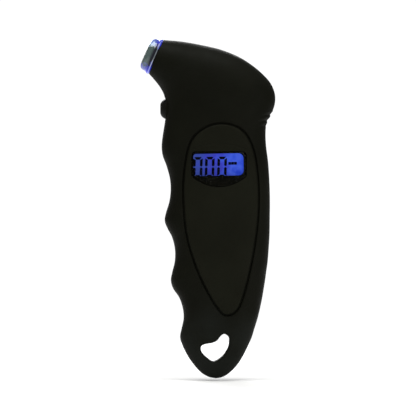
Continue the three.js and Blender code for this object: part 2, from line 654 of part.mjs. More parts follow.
CASE_SCREWS.forEach(([x, z], i) => {
  const headHeight = SCREW_HEAD_Y[1] - SCREW_HEAD_Y[0];
  const screw = makeScrew(
    SCREW_HEAD_RADIUS, headHeight, SCREW_SHAFT_RADIUS, SCREW_HEAD_Y[0] - SCREW_TIP_Y, 0.4);
  addPart(gauge, `case_screw_${i + 1}`, screw, steel).position.set(x, SCREW_HEAD_Y[0], z);
});

BOARD_SCREWS.forEach(([x, z], i) => {
  const screw = makeScrew(2.0, 1.3, 0.9, 5.5, 0.3);
  addPart(gauge, `board_screw_${i + 1}`, screw, steel).position.set(x, BOARD_BACK_Y + GAP, z);
});

export default gauge;
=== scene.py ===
"""Visual model of a digital tire pressure gauge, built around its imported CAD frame.

Shapes are worked out in millimetres, in the row frame (+Z up the handle, display towards -Y,
nozzle towards -X), and turned into metres when a mesh is made.
"""
import json
import math
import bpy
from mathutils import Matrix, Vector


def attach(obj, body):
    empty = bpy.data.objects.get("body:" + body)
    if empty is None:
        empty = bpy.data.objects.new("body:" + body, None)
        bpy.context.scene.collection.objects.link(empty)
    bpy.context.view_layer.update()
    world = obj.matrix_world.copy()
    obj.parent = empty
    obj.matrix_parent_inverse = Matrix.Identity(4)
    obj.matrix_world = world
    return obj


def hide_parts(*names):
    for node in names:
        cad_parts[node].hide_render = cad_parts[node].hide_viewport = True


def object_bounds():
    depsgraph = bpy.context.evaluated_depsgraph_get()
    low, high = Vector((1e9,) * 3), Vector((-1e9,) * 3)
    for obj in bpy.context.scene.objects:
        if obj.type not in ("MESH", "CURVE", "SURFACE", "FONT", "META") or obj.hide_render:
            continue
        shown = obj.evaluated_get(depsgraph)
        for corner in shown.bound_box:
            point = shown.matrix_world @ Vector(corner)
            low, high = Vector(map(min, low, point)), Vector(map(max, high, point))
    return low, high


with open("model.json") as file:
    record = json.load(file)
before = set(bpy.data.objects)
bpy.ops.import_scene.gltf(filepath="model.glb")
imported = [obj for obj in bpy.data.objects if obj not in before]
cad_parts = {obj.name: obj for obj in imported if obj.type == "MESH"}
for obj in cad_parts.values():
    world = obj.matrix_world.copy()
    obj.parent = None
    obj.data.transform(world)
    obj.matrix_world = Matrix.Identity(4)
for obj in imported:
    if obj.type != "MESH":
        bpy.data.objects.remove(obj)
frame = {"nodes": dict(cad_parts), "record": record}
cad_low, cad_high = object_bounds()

from types import SimpleNamespace as Sizes

import bpy
import numpy as np
from mathutils import Matrix, Vector

MM = 0.001

# ------------------------------------------------------------------ driving dimensions (mm)

# Case outline as ribs from the nozzle to the lanyard end, the same as the CAD model's:
# left x, left z, right x, right z, half depth.
RIBS = np.array([
    [-26.9, 61.1, -20.2, 76.5, 8.4],
    [-24.4, 58.3, -12.0, 75.8, 9.8],
    [-22.0, 55.2, -3.5, 74.3, 11.1],
    [-20.3, 52.2, 5.5, 72.2, 12.2],
    [-19.6, 49.6, 13.4, 69.1, 13.0],
    [-19.3, 47.0, 19.6, 65.3, 13.5],
    [-19.2, 44.6, 24.8, 61.0, 13.8],
    [-19.3, 42.0, 28.6, 56.6, 14.0],
    [-19.6, 39.4, 30.5, 51.6, 14.0],
    [-20.1, 36.2, 30.3, 46.8, 14.0],
    [-20.7, 32.4, 28.7, 42.6, 14.0],
    [-21.1, 28.0, 26.7, 38.4, 14.0],
    [-20.6, 23.8, 26.2, 33.6, 14.0],
    [-18.9, 19.2, 26.5, 27.8, 14.0],
    [-17.4, 13.6, 27.3, 21.6, 14.0],
    [-17.0, 8.4, 27.8, 15.2, 14.0],
    [-17.6, 3.0, 28.1, 8.6, 14.0],
    [-19.1, -2.0, 28.2, 2.4, 14.0],
    [-19.7, -5.8, 28.15, -3.0, 14.0],
    [-18.4, -9.4, 28.1, -7.8, 14.0],
    [-16.4, -13.2, 28.0, -12.4, 14.0],
    [-15.1, -18.5, 27.65, -18.2, 13.9],
    [-15.1, -24.0, 27.2, -24.0, 13.8],
    [-16.3, -29.2, 26.5, -29.2, 13.5],
    [-16.9, -32.9, 26.0, -32.9, 13.2],
    [-15.9, -36.6, 25.4, -36.6, 12.8],
    [-13.1, -40.8, 24.7, -40.8, 12.3],
    [-11.5, -45.6, 23.7, -45.6, 11.6],
    [-11.1, -50.2, 22.6, -50.2, 10.8],
    [-12.0, -54.7, 21.2, -54.7, 10.0],
    [-12.7, -58.6, 20.0, -58.6, 9.3],
    [-11.7, -62.4, 18.4, -62.4, 8.6],
    [-9.3, -67.2, 16.0, -67.2, 7.6],
    [-6.4, -71.4, 13.3, -71.4, 6.3],
    [-3.0, -75.0, 9.8, -75.0, 4.4],
    [0.4, -76.9, 6.7, -76.9, 2.4],
    [3.3, -77.5, 3.9, -77.5, 0.4],
])
LAST_RIB = len(RIBS) - 1
FRONT_SCALE = 13.6 / 14
BACK_SCALE = 14.9 / 14
BACK_LAND_Y = 14.0
WALL = 2.6
HALF_PARTING_GAP = 0.08
TONGUE = Sizes(outer=0.95, inner=1.85, first_rib=0.9, last_rib=LAST_RIB - 1.3, low=-1.15, high=0.7,
               gap=0.15)
PARTING_ROUND = 0.32
CAVITY_RIBS = (1.6, 28.2)
RIDGES = Sizes(first=37.2, pitch=2.75, height=0.62, sink=0.45, fade_in=(36.6, 38.4), fade_out=(43.8, 45.6),
               edge=(0.74, 0.94))
COARSE = dict(per_rib=3, count=40)  # for the surfaces inside the case

NOZZLE_TILT = math.radians(23.5)
NOZZLE_CENTRE = Vector((-23.55, 0.0, 68.8))
NOZZLE_SEAT_RADIUS = 6.9
NOZZLE_SEAT_DEPTH = 10.0

PANEL_OUTLINE = [
    (6.6, 38.2), (14.9, 35.5), (20.0, 27.8), (22.4, 15.0), (22.8, 0.0), (21.3, -15.2),
    (18.2, -31.2), (14.8, -43.0), (12.0, -47.2), (8.8, -48.4), (5.7, -46.9), (0.6, -39.3),
    (-5.4, -26.6), (-9.6, -12.0), (-11.1, 4.0), (-10.5, 18.0), (-7.7, 30.0), (-1.5, 36.1),
]
PANEL_PROUD = 0.4
PANEL_BACK = -1.0
PANEL_EDGE_ROUND = 0.7
POCKET_FLOOR = -1.3
POCKET_GAP = 0.42
PANEL_INSET = 0.38
WINDOW = Sizes(left=-7.4, right=17.35, top=25.5, side=14.1, smile=4.7, corner=1.5)
VISIBLE = Sizes(left=-6.6, right=16.1, bottom=14.6, top=24.65, left_corner=1.2, right_corner=2.3)
BROW = Sizes(middle=5.0, half_width=13.0, ends=26.2, top=29.0, width=0.4, depth=0.16)
DISPLAY_TILT = math.radians(1.0)
WINDOW_MIDDLE = np.array([5.2, 17.5])
SEGMENT = Sizes(stroke=1.2, width=3.1, top=22.7, middle=18.7, bottom=14.45, gap=0.1, lean=0.045)
DIGIT_LEFTS = (-6.2, -0.8, 4.8)
UNIT_MARK = Sizes(lefts=(9.25, 10.55, 11.85), width=1.24, low=19.5, high=20.75)
LCD = Sizes(left=-8.0, right=17.7, bottom=12.6, top=26.2, front=-10.8, back=-8.8, gap=0.3)

LANYARD_HOLE = [
    (7.4, -56.9), (9.5, -58.3), (9.8, -61.0), (9.0, -64.2), (6.4, -67.8), (2.4, -70.0),
    (-0.6, -68.4), (-3.2, -65.6), (-3.3, -62.8), (-1.4, -61.6), (1.8, -61.0), (4.0, -59.9),
    (5.5, -58.0),
]

BUTTON_Z = 45.1
BUTTON_RADIUS = 4.7
BUTTON_TIP_X = -21.8
COLLAR = Sizes(radius=6.3, face_x=-19.4, back_x=-16.2)

CASE_SCREWS = [(20, 56), (-1, 65.5), (-12.3, 3), (22, 0), (7, -46)]
BOARD_SCREWS = [(-9.5, 33), (15.5, 33.5), (-3, -13)]
SCREW_HEAD_Y = (6.2, 8.2)
BAY = (6.0, -22.0)
BAY_RADII = Sizes(tub=14.2, bore=11.2, recess=13.0)
BAY_Y = Sizes(tub=3.4, floor=4.8, recess=11.1)
COVER = Sizes(radius=12.7, bottom=12.3, top=13.4)
SKIRT = Sizes(inner=9.6, outer=10.9, low=-3.0, high=0.4)
COIN_SLOT = Sizes(half_length=7.4, half_width=1.05, corner=1.0, depth=0.75)
GRIP_NOTCH = Sizes(around=13.0, radius=1.2, depth=0.6, turns=range(15, 360, 30))
ARROW = Sizes(half_width=1.3, foot=4.6, point=6.9, proud=0.35)
LEG_HOLES = (((4.7, -3.4, -17.55), (7.3, 5.8, -16.45)), ((4.7, -3.4, -12.0), (7.3, 6.1, -10.9)))

# The cover's lugs, the slots that they turn in and the notches that they drop through.
LUG_SIDES = (0, 180)
LUG = Sizes(inner=10.2, outer=12.3, start=-15, end=15, low=9.35, high=10.15)
LUG_SLOT = Sizes(inner=8, outer=12.6, start=-53, end=18, low=9.1, high=10.4)
LUG_NOTCH = Sizes(inner=8, outer=12.6, start=-53, end=-17, low=9.4, high=12.1)
LOCK_MARKS = Sizes(around=14.6, radius=0.6, depth=0.35, turns=(90, 125))  # cover shut, cover free

# Posts and holes for the screws: places, radius, from y, to y.
FAR_Y = 13
CASE_POSTS = (CASE_SCREWS, 3.0, -FAR_Y, -HALF_PARTING_GAP)
BOARD_POSTS = (BOARD_SCREWS, 2.4, -FAR_Y, -5.3)
BACK_BOSSES = (CASE_SCREWS, 4.6, 0.2, FAR_Y)
FRONT_THREADS = (CASE_SCREWS, 1.6, -8.3, 1)
BOARD_THREADS = (BOARD_SCREWS, 1.2, -9.3, 1)
SCREW_WAYS = (CASE_SCREWS, 1.6, -1, 8)
COUNTERBORE = Sizes(radius=3.1, clear_above=3.7)


# ------------------------------------------------------------------ curves and the case surface

def spline_rows(rows, t):
    """Uniform Catmull-Rom curve through rows, at parameters t from 0 to len(rows) - 1."""
    rows = np.asarray(rows, float)
    padded = np.vstack([2 * rows[0] - rows[1], rows, 2 * rows[-1] - rows[-2]])
    t = np.asarray(t, float)
    i = np.clip(np.floor(t).astype(int), 0, len(rows) - 2)
    w = (t - i)[..., None]
    p0, p1, p2, p3 = (padded[i + k] for k in range(4))
    return 0.5 * (2 * p1 + (p2 - p0) * w + (2 * p0 - 5 * p1 + 4 * p2 - p3) * w ** 2
                  + (3 * p1 - p0 - 3 * p2 + p3) * w ** 3)


def lengths(points):
    """Distance along a polyline to each of its points."""
    steps = np.linalg.norm(np.diff(points, axis=0), axis=1)
    return np.concatenate([[0], np.cumsum(steps)])


def resample(points, fractions):
    """Points at the given fractions of a polyline's length."""
    length = lengths(points)
    wanted = np.asarray(fractions) * length[-1]
    return np.stack([np.interp(wanted, length, points[:, k]) for k in range(2)], axis=1)


def closed_spline(points, count):
    """Evenly spaced points on a smooth closed outline through points."""
    points = np.asarray(points, float)
    wrapped = np.vstack([points[-1], points, points[0], points[1]])
    dense = spline_rows(wrapped, 1 + np.linspace(0, len(points), 40 * len(points) + 1))
    return resample(dense, np.linspace(0, 1, count, endpoint=False))


def smoothstep(value, low, high):
    """0 below low and 1 above high, with a smooth rise between them."""
    t = np.clip((np.asarray(value, float) - low) / (high - low), 0, 1)
    return t * t * (3 - 2 * t)


def squareness(rib):
    """Exponent of the section at rib: round at the nozzle, squarer down the grip, softer at the end."""
    return 2 + smoothstep(rib, 0, 9) - 0.75 * smoothstep(rib, 26, 34)


def rib_frame(rib):
    """Centre, across direction, half width, half depth and exponent of the section at rib."""
    row = spline_rows(RIBS, rib)
    left, right = row[..., 0:2], row[..., 2:4]
    span = right - left
    width = np.linalg.norm(span, axis=-1)
    return (left + right) / 2, span / width[..., None], width / 2, row[..., 4], squareness(rib)


def depth_scale(rib, front):
    """How much a half's depth differs from the ribs': not at the nozzle, fully from rib 6."""
    scale = FRONT_SCALE if front else BACK_SCALE
    return 1 + (scale - 1) * np.clip(np.asarray(rib, float) / 6, 0, 1)


def soft_min(value, limit, softness=0.5):
    """value, levelled off smoothly at limit."""
    over = (np.asarray(value, float) - limit) / softness
    return value - softness * np.logaddexp(0, over)


def grip_ridges(right_z, lateral):
    """Three shallow ridges on the right edge, where the head runs into the grip."""
    wave = 0.5 - 0.5 * np.cos(2 * np.pi * (right_z - RIDGES.first) / RIDGES.pitch)
    inside = smoothstep(right_z, *RIDGES.fade_in) * (1 - smoothstep(right_z, *RIDGES.fade_out))
    height = RIDGES.height * wave ** 0.7 - RIDGES.sink
    return height * inside * smoothstep(lateral, *RIDGES.edge)


def surface_depth(x, z, front=True):
    """Distance of the case's surface from the parting plane at points x, z."""
    x, z = np.asarray(x, float), np.asarray(z, float)
    low = np.zeros(x.shape)
    high = np.full(x.shape, float(LAST_RIB))
    for _ in range(36):
        middle = (low + high) / 2
        row = spline_rows(RIBS, middle)
        across = row[..., 2:4] - row[..., 0:2]
        side = across[..., 0] * (z - row[..., 1]) - across[..., 1] * (x - row[..., 0])
        above = side > 0
        high = np.where(above, middle, high)
        low = np.where(above, low, middle)
    rib = (low + high) / 2
    centre, across, half_width, half_depth, power = rib_frame(rib)
    lateral = (x - centre[..., 0]) * across[..., 0] + (z - centre[..., 1]) * across[..., 1]
    u = np.clip(np.abs(lateral) / half_width, 0, 1)
    depth = half_depth * depth_scale(rib, front) * (1 - u ** power) ** (1 / power)
    return depth if front else soft_min(depth, BACK_LAND_Y)


# ------------------------------------------------------------------ mesh helpers

def new_object(name, vertices, faces, scale=MM):
    """A smooth-shaded mesh object from vertices in millimetres."""
    mesh = bpy.data.meshes.new(name)
    mesh.from_pydata([tuple(np.asarray(v, float) * scale) for v in vertices], [], faces)
    mesh.validate()
    mesh.update()
    obj = bpy.data.objects.new(name, mesh)
    bpy.context.scene.collection.objects.link(obj)
    shade(obj)
    return obj


def shade(obj):
    """Smooth shading that keeps real edges crisp."""
    obj.data.shade_smooth()
    obj.data.set_sharp_from_angle(angle=math.radians(32))


def rings_object(name, rings, closed_chain=False):
    """A closed mesh through rings of equal length; its ends are closed by fans."""
    count = len(rings[0])
    vertices = [tuple(p) for ring in rings for p in ring]
    bases = [i * count for i in range(len(rings))]
    around = [(j, (j + 1) % count) for j in range(count)]
    pairs = zip(bases, bases[1:] + bases[:1] if closed_chain else bases[1:])
    faces = [(a + j, a + k, b + k, b + j) for a, b in pairs for j, k in around]
    if not closed_chain:
        for ring, base, step in ((rings[0], bases[0], -1), (rings[-1], bases[-1], 1)):
            pole = len(vertices)
            vertices.append(tuple(np.mean(np.asarray(ring, float), axis=0)))
            faces += [(pole, *(base + j, base + k)[::step]) for j, k in around]
    obj = new_object(name, vertices, faces)
    face_outwards(obj)
    return obj


def face_outwards(obj):
    """Turns a closed mesh right side out."""
    mesh = obj.data
    points = np.empty(len(mesh.vertices) * 3)
    mesh.vertices.foreach_get("co", points)
    points = points.reshape(-1, 3)
    mesh.calc_loop_triangles()
    corners = np.empty(len(mesh.loop_triangles) * 3, int)
    mesh.loop_triangles.foreach_get("vertices", corners)
    a, b, c = (points[corners.reshape(-1, 3)[:, k]] for k in range(3))
    if np.einsum("ij,ij->i", a, np.cross(b, c)).sum() < 0:
        mesh.flip_normals()


def turned(name, profile, sides, place):
    """A solid of revolution about local Z from (radius, height) points.

    A profile that starts off the axis closes on itself as a ring.
    """
    hollow = profile[0][0] > 1e-6
    radii = [p for p in profile if hollow or p[0] > 1e-6]
    angles = np.linspace(0, 2 * np.pi, sides, endpoint=False)
    rings = [np.stack([r * np.cos(angles), r * np.sin(angles), np.full(sides, h)], 1)
             for r, h in radii]
    obj = rings_object(name, rings, closed_chain=hollow)
    obj.data.transform(place)
    obj.data.update()
    return obj


def bezier(start, control, end, count):
    """Points on a quadratic curve."""
    t = np.linspace(0, 1, count)[:, None]
    return (1 - t) ** 2 * start + 2 * t * (1 - t) * control + t ** 2 * end


def rounded(points, radius=0.3, steps=4, closed=True):
    """The polygon with its corners rounded, as a list of 2D points."""
    points = [np.asarray(p, float) for p in points]
    out = []
    count = len(points)
    for i, corner in enumerate(points):
        if not closed and i in (0, count - 1):
            out.append(tuple(corner))
            continue
        before, after = points[i - 1] - corner, points[(i + 1) % count] - corner
        reach = min(radius, 0.45 * np.linalg.norm(before), 0.45 * np.linalg.norm(after))
        start = corner + before / np.linalg.norm(before) * reach
        end = corner + after / np.linalg.norm(after) * reach
        out += [tuple(point) for point in bezier(start, corner, end, steps + 1)]
    return out


def boolean(obj, cutter, operation):
    """Joins or cuts obj with cutter, which is used up."""
    modifier = obj.modifiers.new("cut", "BOOLEAN")
    modifier.operation = operation
    modifier.object = cutter
    modifier.solver = "MANIFOLD"
    bpy.context.view_layer.update()
    graph = bpy.context.evaluated_depsgraph_get()
    result = bpy.data.meshes.new_from_object(obj.evaluated_get(graph))
    obj.modifiers.clear()
    old = obj.data
    obj.data = result
    bpy.data.meshes.remove(old)
    bpy.data.objects.remove(cutter)
    shade(obj)


def join(objects, name):
    """Several objects as one."""
    vertices, faces = [], []
    for obj in objects:
        base = len(vertices)
        vertices += [tuple(v.co) for v in obj.data.vertices]
        faces += [tuple(base + i for i in p.vertices) for p in obj.data.polygons]
        bpy.data.objects.remove(obj)
    return new_object(name, vertices, faces, scale=1)


def cut_away(obj, *cutters):
    """Cuts obj with cutters that don't overlap one another."""
    boolean(obj, join(cutters, "cutters"), "DIFFERENCE")


def offset_loop(loop, distance):
    """The outline moved outwards by distance."""
    loop = np.asarray(loop, float)
    tangent = np.roll(loop, -1, axis=0) - np.roll(loop, 1, axis=0)
    tangent /= np.linalg.norm(tangent, axis=1)[:, None]
    area = np.sum(loop[:, 0] * np.roll(loop[:, 1], -1) - np.roll(loop[:, 0], -1) * loop[:, 1])
    normal = np.stack([tangent[:, 1], -tangent[:, 0]], 1) * np.sign(area)
    return loop + normal * distance


def on_case(loop, height, front=True):
    """The outline laid on the case, height above its surface."""
    depth = surface_depth(loop[:, 0], loop[:, 1], front) + height
    return np.stack([loop[:, 0], -depth if front else depth, loop[:, 1]], 1)


def at_depth(loop, y):
    return np.stack([loop[:, 0], np.full(len(loop), float(y)), loop[:, 1]], 1)


def layered(name, layers, closed_chain=False):
    """A closed mesh through outlines that each lie flat at their own y."""
    return rings_object(name, [at_depth(loop, y) for loop, y in layers], closed_chain)


def rectangle(left, right, low, high):
    return [(left, low), (right, low), (right, high), (left, high)]


def shrink(loop, centre, factor):
    return centre + (np.asarray(loop) - centre) * factor


def along_axis(origin, direction):
    """A matrix that puts local Z on an axis; origin is in millimetres, the mesh in metres."""
    turn = Vector((0, 0, 1)).rotation_difference(Vector(direction)).to_matrix().to_4x4()
    return Matrix.Translation(Vector(origin) * MM) @ turn


nozzle_direction = Vector((-math.cos(NOZZLE_TILT), 0, math.sin(NOZZLE_TILT)))
nozzle_place = along_axis(NOZZLE_CENTRE, nozzle_direction)


def back_post(name, x, z, radius, y_low, y_high, sides=64, flare=0.0):
    """A plug along Y; flare opens its outer end with a soft edge."""
    length = y_high - y_low
    profile = [(0, 0), (radius, 0), (radius, length - 2 * flare)]
    if flare:
        profile += [(radius + flare * 0.3, length - flare), (radius + flare, length - flare * 0.3),
                    (radius + flare * 1.6, length)]
    profile.append((0, length))
    return turned(name, profile, sides, along_axis((x, y_low, z), (0, 1, 0)))


def back_posts(places, radius, y_low, y_high, sides):
    return [back_post("post", x, z, radius, y_low, y_high, sides) for x, z in places]


def block(name, low, high):
    """A plain cutting block between two corners."""
    ring = np.array(rectangle(low[0], high[0], low[2], high[2]))
    return layered(name, [(ring, low[1]), (ring, high[1])])


# ------------------------------------------------------------------ case shells

def half_profile(half_width, depth, power, front, samples=900):
    """Local (lateral, depth) points of half a section, from its left to its right edge."""
    angle = np.linspace(0, np.pi, samples)
    lateral = -np.sign(np.cos(angle)) * np.abs(np.cos(angle)) ** (2 / power) * half_width
    rise = np.abs(np.sin(angle)) ** (2 / power) * depth
    if not front:
        rise = soft_min(rise, BACK_LAND_Y)
    near = np.clip(PARTING_ROUND - rise, 0, PARTING_ROUND)
    round_in = PARTING_ROUND - np.sqrt(PARTING_ROUND ** 2 - near ** 2)
    keep = np.clip(1 - round_in / np.maximum(np.abs(lateral), 1e-6), 0, 1)
    return np.stack([lateral * keep, np.maximum(rise, HALF_PARTING_GAP)], 1)


def section_fractions(count):
    """Where points lie along half a section: close together at its edges."""
    edge = np.array([0, 0.08, 0.16, 0.26, 0.38, 0.6, 1.0, 1.6]) / 70
    middle = np.linspace(edge[-1], 1 - edge[-1], count)[1:-1]
    return np.concatenate([edge, middle, 1 - edge[::-1]])


def half_solid(name, front, grow=0.0, ribs=(0, LAST_RIB), per_rib=8, count=84):
    """The front or back half of the case's form as a closed solid, grown by grow."""
    stations = np.linspace(*ribs, int((ribs[1] - ribs[0]) * per_rib) + 1)
    fractions = section_fractions(count)
    sign = -1 if front else 1
    rings = []
    for rib in stations:
        centre, across, half_width, half_depth, power = rib_frame(rib)
        depth = half_depth * depth_scale(rib, front) + grow
        lateral, rise = resample(half_profile(half_width + grow, depth, power, front), fractions).T
        if grow == 0:
            right_z = spline_rows(RIBS, rib)[3]
            lateral = lateral + grip_ridges(right_z, lateral / half_width)
        rings.append(np.stack([centre[0] + across[0] * lateral, sign * rise,
                               centre[1] + across[1] * lateral], 1))
    return rings_object(name, rings)


def edge_loop(inset, first_rib, last_rib, count=240):
    """The case's outline at its parting plane, inset along its sections."""
    sides = [], []
    for rib in np.linspace(first_rib, last_rib, count):
        centre, across, half_width = rib_frame(rib)[:3]
        for side, sign in zip(sides, (-1, 1)):
            side.append(centre + sign * across * (half_width - inset))
    return np.array(sides[0] + sides[1][::-1])


def seam_band(name, gap, y_low, y_high):
    """A band that runs round the case inside its wall: the seam's tongue, or its groove."""
    outer = edge_loop(TONGUE.outer - gap, TONGUE.first_rib, TONGUE.last_rib + gap)
    inner = edge_loop(TONGUE.inner + gap, TONGUE.first_rib + 0.5, TONGUE.last_rib - 0.4 - gap)
    corners = ((outer, y_low), (outer, y_high), (inner, y_high), (inner, y_low))
    return layered(name, corners, closed_chain=True)


def lip_rings(loop, lip, front=True):
    """Rings of an opening's softened mouth, from (distance outwards, height above the case) points."""
    return [on_case(offset_loop(loop, flare), height, front) for flare, height in lip]


def pocket_cutter():
    """The pocket that the face panel sits in, with a soft lip round its mouth."""
    loop = closed_spline(PANEL_OUTLINE, 300)
    wall = offset_loop(loop, POCKET_GAP)
    rings = [on_case(shrink(wall, loop.mean(axis=0), f), POCKET_FLOOR)
             for f in (0.04, 0.15, 0.3, 0.45, 0.6, 0.75, 0.88, 0.96)]
    lip = [(0, POCKET_FLOOR), (0, -0.75), (0.06, -0.5), (0.2, -0.27), (0.45, -0.1), (0.8, 0.02), (1.2, 0.1)]
    rings += lip_rings(loop, [(POCKET_GAP + flare, height) for flare, height in lip])
    rings.append(at_depth(offset_loop(loop, POCKET_GAP + lip[-1][0]), -24))
    return rings_object("pocket_cutter", rings)


def lanyard_cutter():
    """The lanyard hole, with its edges rounded on both faces."""
    loop = offset_loop(closed_spline(LANYARD_HOLE, 200), -0.25)
    lip = [(1.9, 0.25), (1.3, 0.06), (0.75, -0.22), (0.38, -0.6), (0.14, -1.1), (0.0, -1.8)]
    mouth = offset_loop(loop, lip[0][0])
    sides = lip_rings(loop, lip) + lip_rings(loop, lip[::-1], front=False)
    return rings_object("lanyard_cutter", [at_depth(mouth, -16), *sides, at_depth(mouth, 16)])


def nozzle_seat_cutter():
    profile = [(0, -NOZZLE_SEAT_DEPTH - 6), (5.9, -NOZZLE_SEAT_DEPTH - 6), (5.9, -NOZZLE_SEAT_DEPTH),
               (NOZZLE_SEAT_RADIUS, -NOZZLE_SEAT_DEPTH), (NOZZLE_SEAT_RADIUS, 2), (0, 2)]
    return turned("seat_cutter", profile, 96, nozzle_place)


def button_cutter():
    """The button's hole, with a softened mouth."""
    radius = BUTTON_RADIUS + 0.3
    profile = [(0, 0), (radius, 0), (radius, 8.9), (radius + 0.1, 9.2), (radius + 0.35, 9.4),
               (radius + 0.6, 14), (0, 14)]
    return turned("button_cutter", profile, 96, along_axis((-10, 0, BUTTON_Z), (-1, 0, 0)))


def button_collar(front):
    """Half of the flat boss that the button sits in."""
    height = COLLAR.back_x - COLLAR.face_x
    corners = [(0, 0), (COLLAR.radius, 0), (COLLAR.radius, height), (0, height)]
    profile = rounded(corners, 0.7, 5, closed=False)
    collar = turned("collar", profile, 96, along_axis((COLLAR.back_x, 0, BUTTON_Z), (-1, 0, 0)))
    y_low, y_high = (-20, -HALF_PARTING_GAP) if front else (HALF_PARTING_GAP, 20)
    boolean(collar, block("half", (-30, y_low, 0), (0, y_high, 80)), "INTERSECT")
    return collar


def add_supports(shell, posts, front):
    """Joins separate posts to a shell, cut off inside its wall."""
    supports = join(posts, "supports")
    boolean(supports, half_solid("limit", front, -WALL / 2, **COARSE), "INTERSECT")
    boolean(shell, supports, "UNION")


def hollow_half(name, front):
    """Half of the case, hollowed, with its half of the button's boss."""
    shell = half_solid(name, front)
    boolean(shell, half_solid("cavity", front, -WALL, CAVITY_RIBS, **COARSE), "DIFFERENCE")
    boolean(shell, button_collar(front), "UNION")
    return shell


def make_front():
    shell = hollow_half("case_front", front=True)
    add_supports(shell, back_posts(*CASE_POSTS, 48) + back_posts(*BOARD_POSTS, 48), front=True)
    cut_away(shell, *back_posts(*FRONT_THREADS, 32), *back_posts(*BOARD_THREADS, 32))
    cut_away(shell, seam_band("groove", TONGUE.gap, TONGUE.low - TONGUE.gap, 1))
    cut_away(shell, pocket_cutter())
    gap = LCD.gap
    low = (LCD.left - gap, -30, LCD.bottom - gap)
    high = (LCD.right + gap, LCD.back + gap, LCD.top + gap)
    cut_away(shell, block("lcd_cutter", low, high))
    cut_away(shell, lanyard_cutter(), nozzle_seat_cutter(), button_cutter())
    return shell


def sectors(shape):
    """A piece of a ring about the battery bay for each of the two lugs."""
    pieces = []
    for side in LUG_SIDES:
        turns = np.radians(np.linspace(side + shape.start, side + shape.end, 20))
        arcs = [np.stack([BAY[0] + r * np.cos(t), BAY[1] + r * np.sin(t)], 1)
                for r, t in ((shape.outer, turns), (shape.inner, turns[::-1]))]
        loop = np.vstack(arcs)
        pieces.append(layered("sector", [(loop, shape.low), (loop, shape.high)]))
    return pieces


def dots_round_bay(dots, top):
    """Small round cutters, sunk below top, round the battery bay."""
    turns = [math.radians(turn) for turn in dots.turns]
    places = [(BAY[0] + dots.around * math.cos(turn), BAY[1] + dots.around * math.sin(turn))
              for turn in turns]
    return back_posts(places, dots.radius, top - dots.depth, 16, 24)


def make_back():
    shell = hollow_half("case_back", front=False)
    tub = back_post("tub", *BAY, BAY_RADII.tub, BAY_Y.tub, FAR_Y, 96)
    add_supports(shell, back_posts(*BACK_BOSSES, 64) + [tub], front=False)
    boolean(shell, seam_band("tongue", 0, TONGUE.low, TONGUE.high), "UNION")

    cut_away(shell, back_post("recess", *BAY, BAY_RADII.recess, BAY_Y.recess, 14.35, 128, flare=0.45))
    cut_away(shell, back_post("bore", *BAY, BAY_RADII.bore, BAY_Y.floor, FAR_Y, 96))
    cut_away(shell, *sectors(LUG_SLOT))
    cut_away(shell, *sectors(LUG_NOTCH))
    cut_away(shell, *[block("leg_hole", *corners) for corners in LEG_HOLES])
    cut_away(shell, *dots_round_bay(LOCK_MARKS, BACK_LAND_Y))

    seats, clearances = [], []
    for x, z in CASE_SCREWS:
        top = float(surface_depth(x, z, front=False))
        seats.append(back_post("seat", x, z, COUNTERBORE.radius, SCREW_HEAD_Y[0] - 0.3, top + 0.3,
                               flare=0.4))
        clearances.append(back_post("above", x, z, COUNTERBORE.clear_above, top + 0.25, 20))
    for group in (seats, clearances, back_posts(*SCREW_WAYS, 32)):
        cut_away(shell, *group)
    cut_away(shell, lanyard_cutter(), nozzle_seat_cutter(), button_cutter())
    return shell


# ------------------------------------------------------------------ display panel

def window_outline(grow=0.0):
    """The window's outline: square shoulders at the top, a smile at the bottom."""
    left, right = WINDOW.left - grow, WINDOW.right + grow
    top, side, corner = WINDOW.top + grow, WINDOW.side, WINDOW.corner
    ends = np.array([(left, side), ((left + right) / 2, WINDOW.smile - grow), (right, side)])
    upper_right = quarter_turn(right - corner, top - corner, corner, 0)
    upper_left = quarter_turn(left + corner, top - corner, corner, 90)
    return soften(np.vstack([bezier(*ends, 48), upper_right, upper_left]))


def quarter_turn(x, z, radius, start):
    """Points on a quarter of a circle about x, z, from start degrees on."""
    turn = np.radians(np.linspace(start, start + 90, 12))
    return np.stack([x + radius * np.cos(turn), z + radius * np.sin(turn)], 1)


def soften(outline, radius=0.5, count=260):
    """The outline resampled evenly, with its corners eased."""
    closed = np.vstack([outline, outline[:1]])
    even = resample(closed, np.linspace(0, 1, count, endpoint=False))
    spacing = lengths(closed)[-1] / count
    for _ in range(int((radius / spacing) ** 2 * 3) + 1):
        even = (np.roll(even, 1, axis=0) + 2 * even + np.roll(even, -1, axis=0)) / 4
    return even


def visible_outline():
    """The lit part of the display, slightly turned."""
    near, far = VISIBLE.left_corner, VISIBLE.right_corner
    left, right = VISIBLE.left + near, VISIBLE.right - far
    bottom, top = VISIBLE.bottom, VISIBLE.top
    corners = [quarter_turn(right, bottom + far, far, -90), quarter_turn(right, top - far, far, 0),
               quarter_turn(left, top - near, near, 90), quarter_turn(left, bottom + near, near, 180)]
    return turn_display(soften(np.vstack(corners), 0.2))


def turn_display(points):
    """Points turned about the display's centre by its slight tilt."""
    points = np.asarray(points, float)
    centre = display_centre()
    c, s = math.cos(DISPLAY_TILT), math.sin(DISPLAY_TILT)
    away = points - centre
    return centre + np.stack([away[:, 0] * c - away[:, 1] * s, away[:, 0] * s + away[:, 1] * c], 1)


def display_centre():
    return np.array([(VISIBLE.left + VISIBLE.right) / 2, (VISIBLE.bottom + VISIBLE.top) / 2])


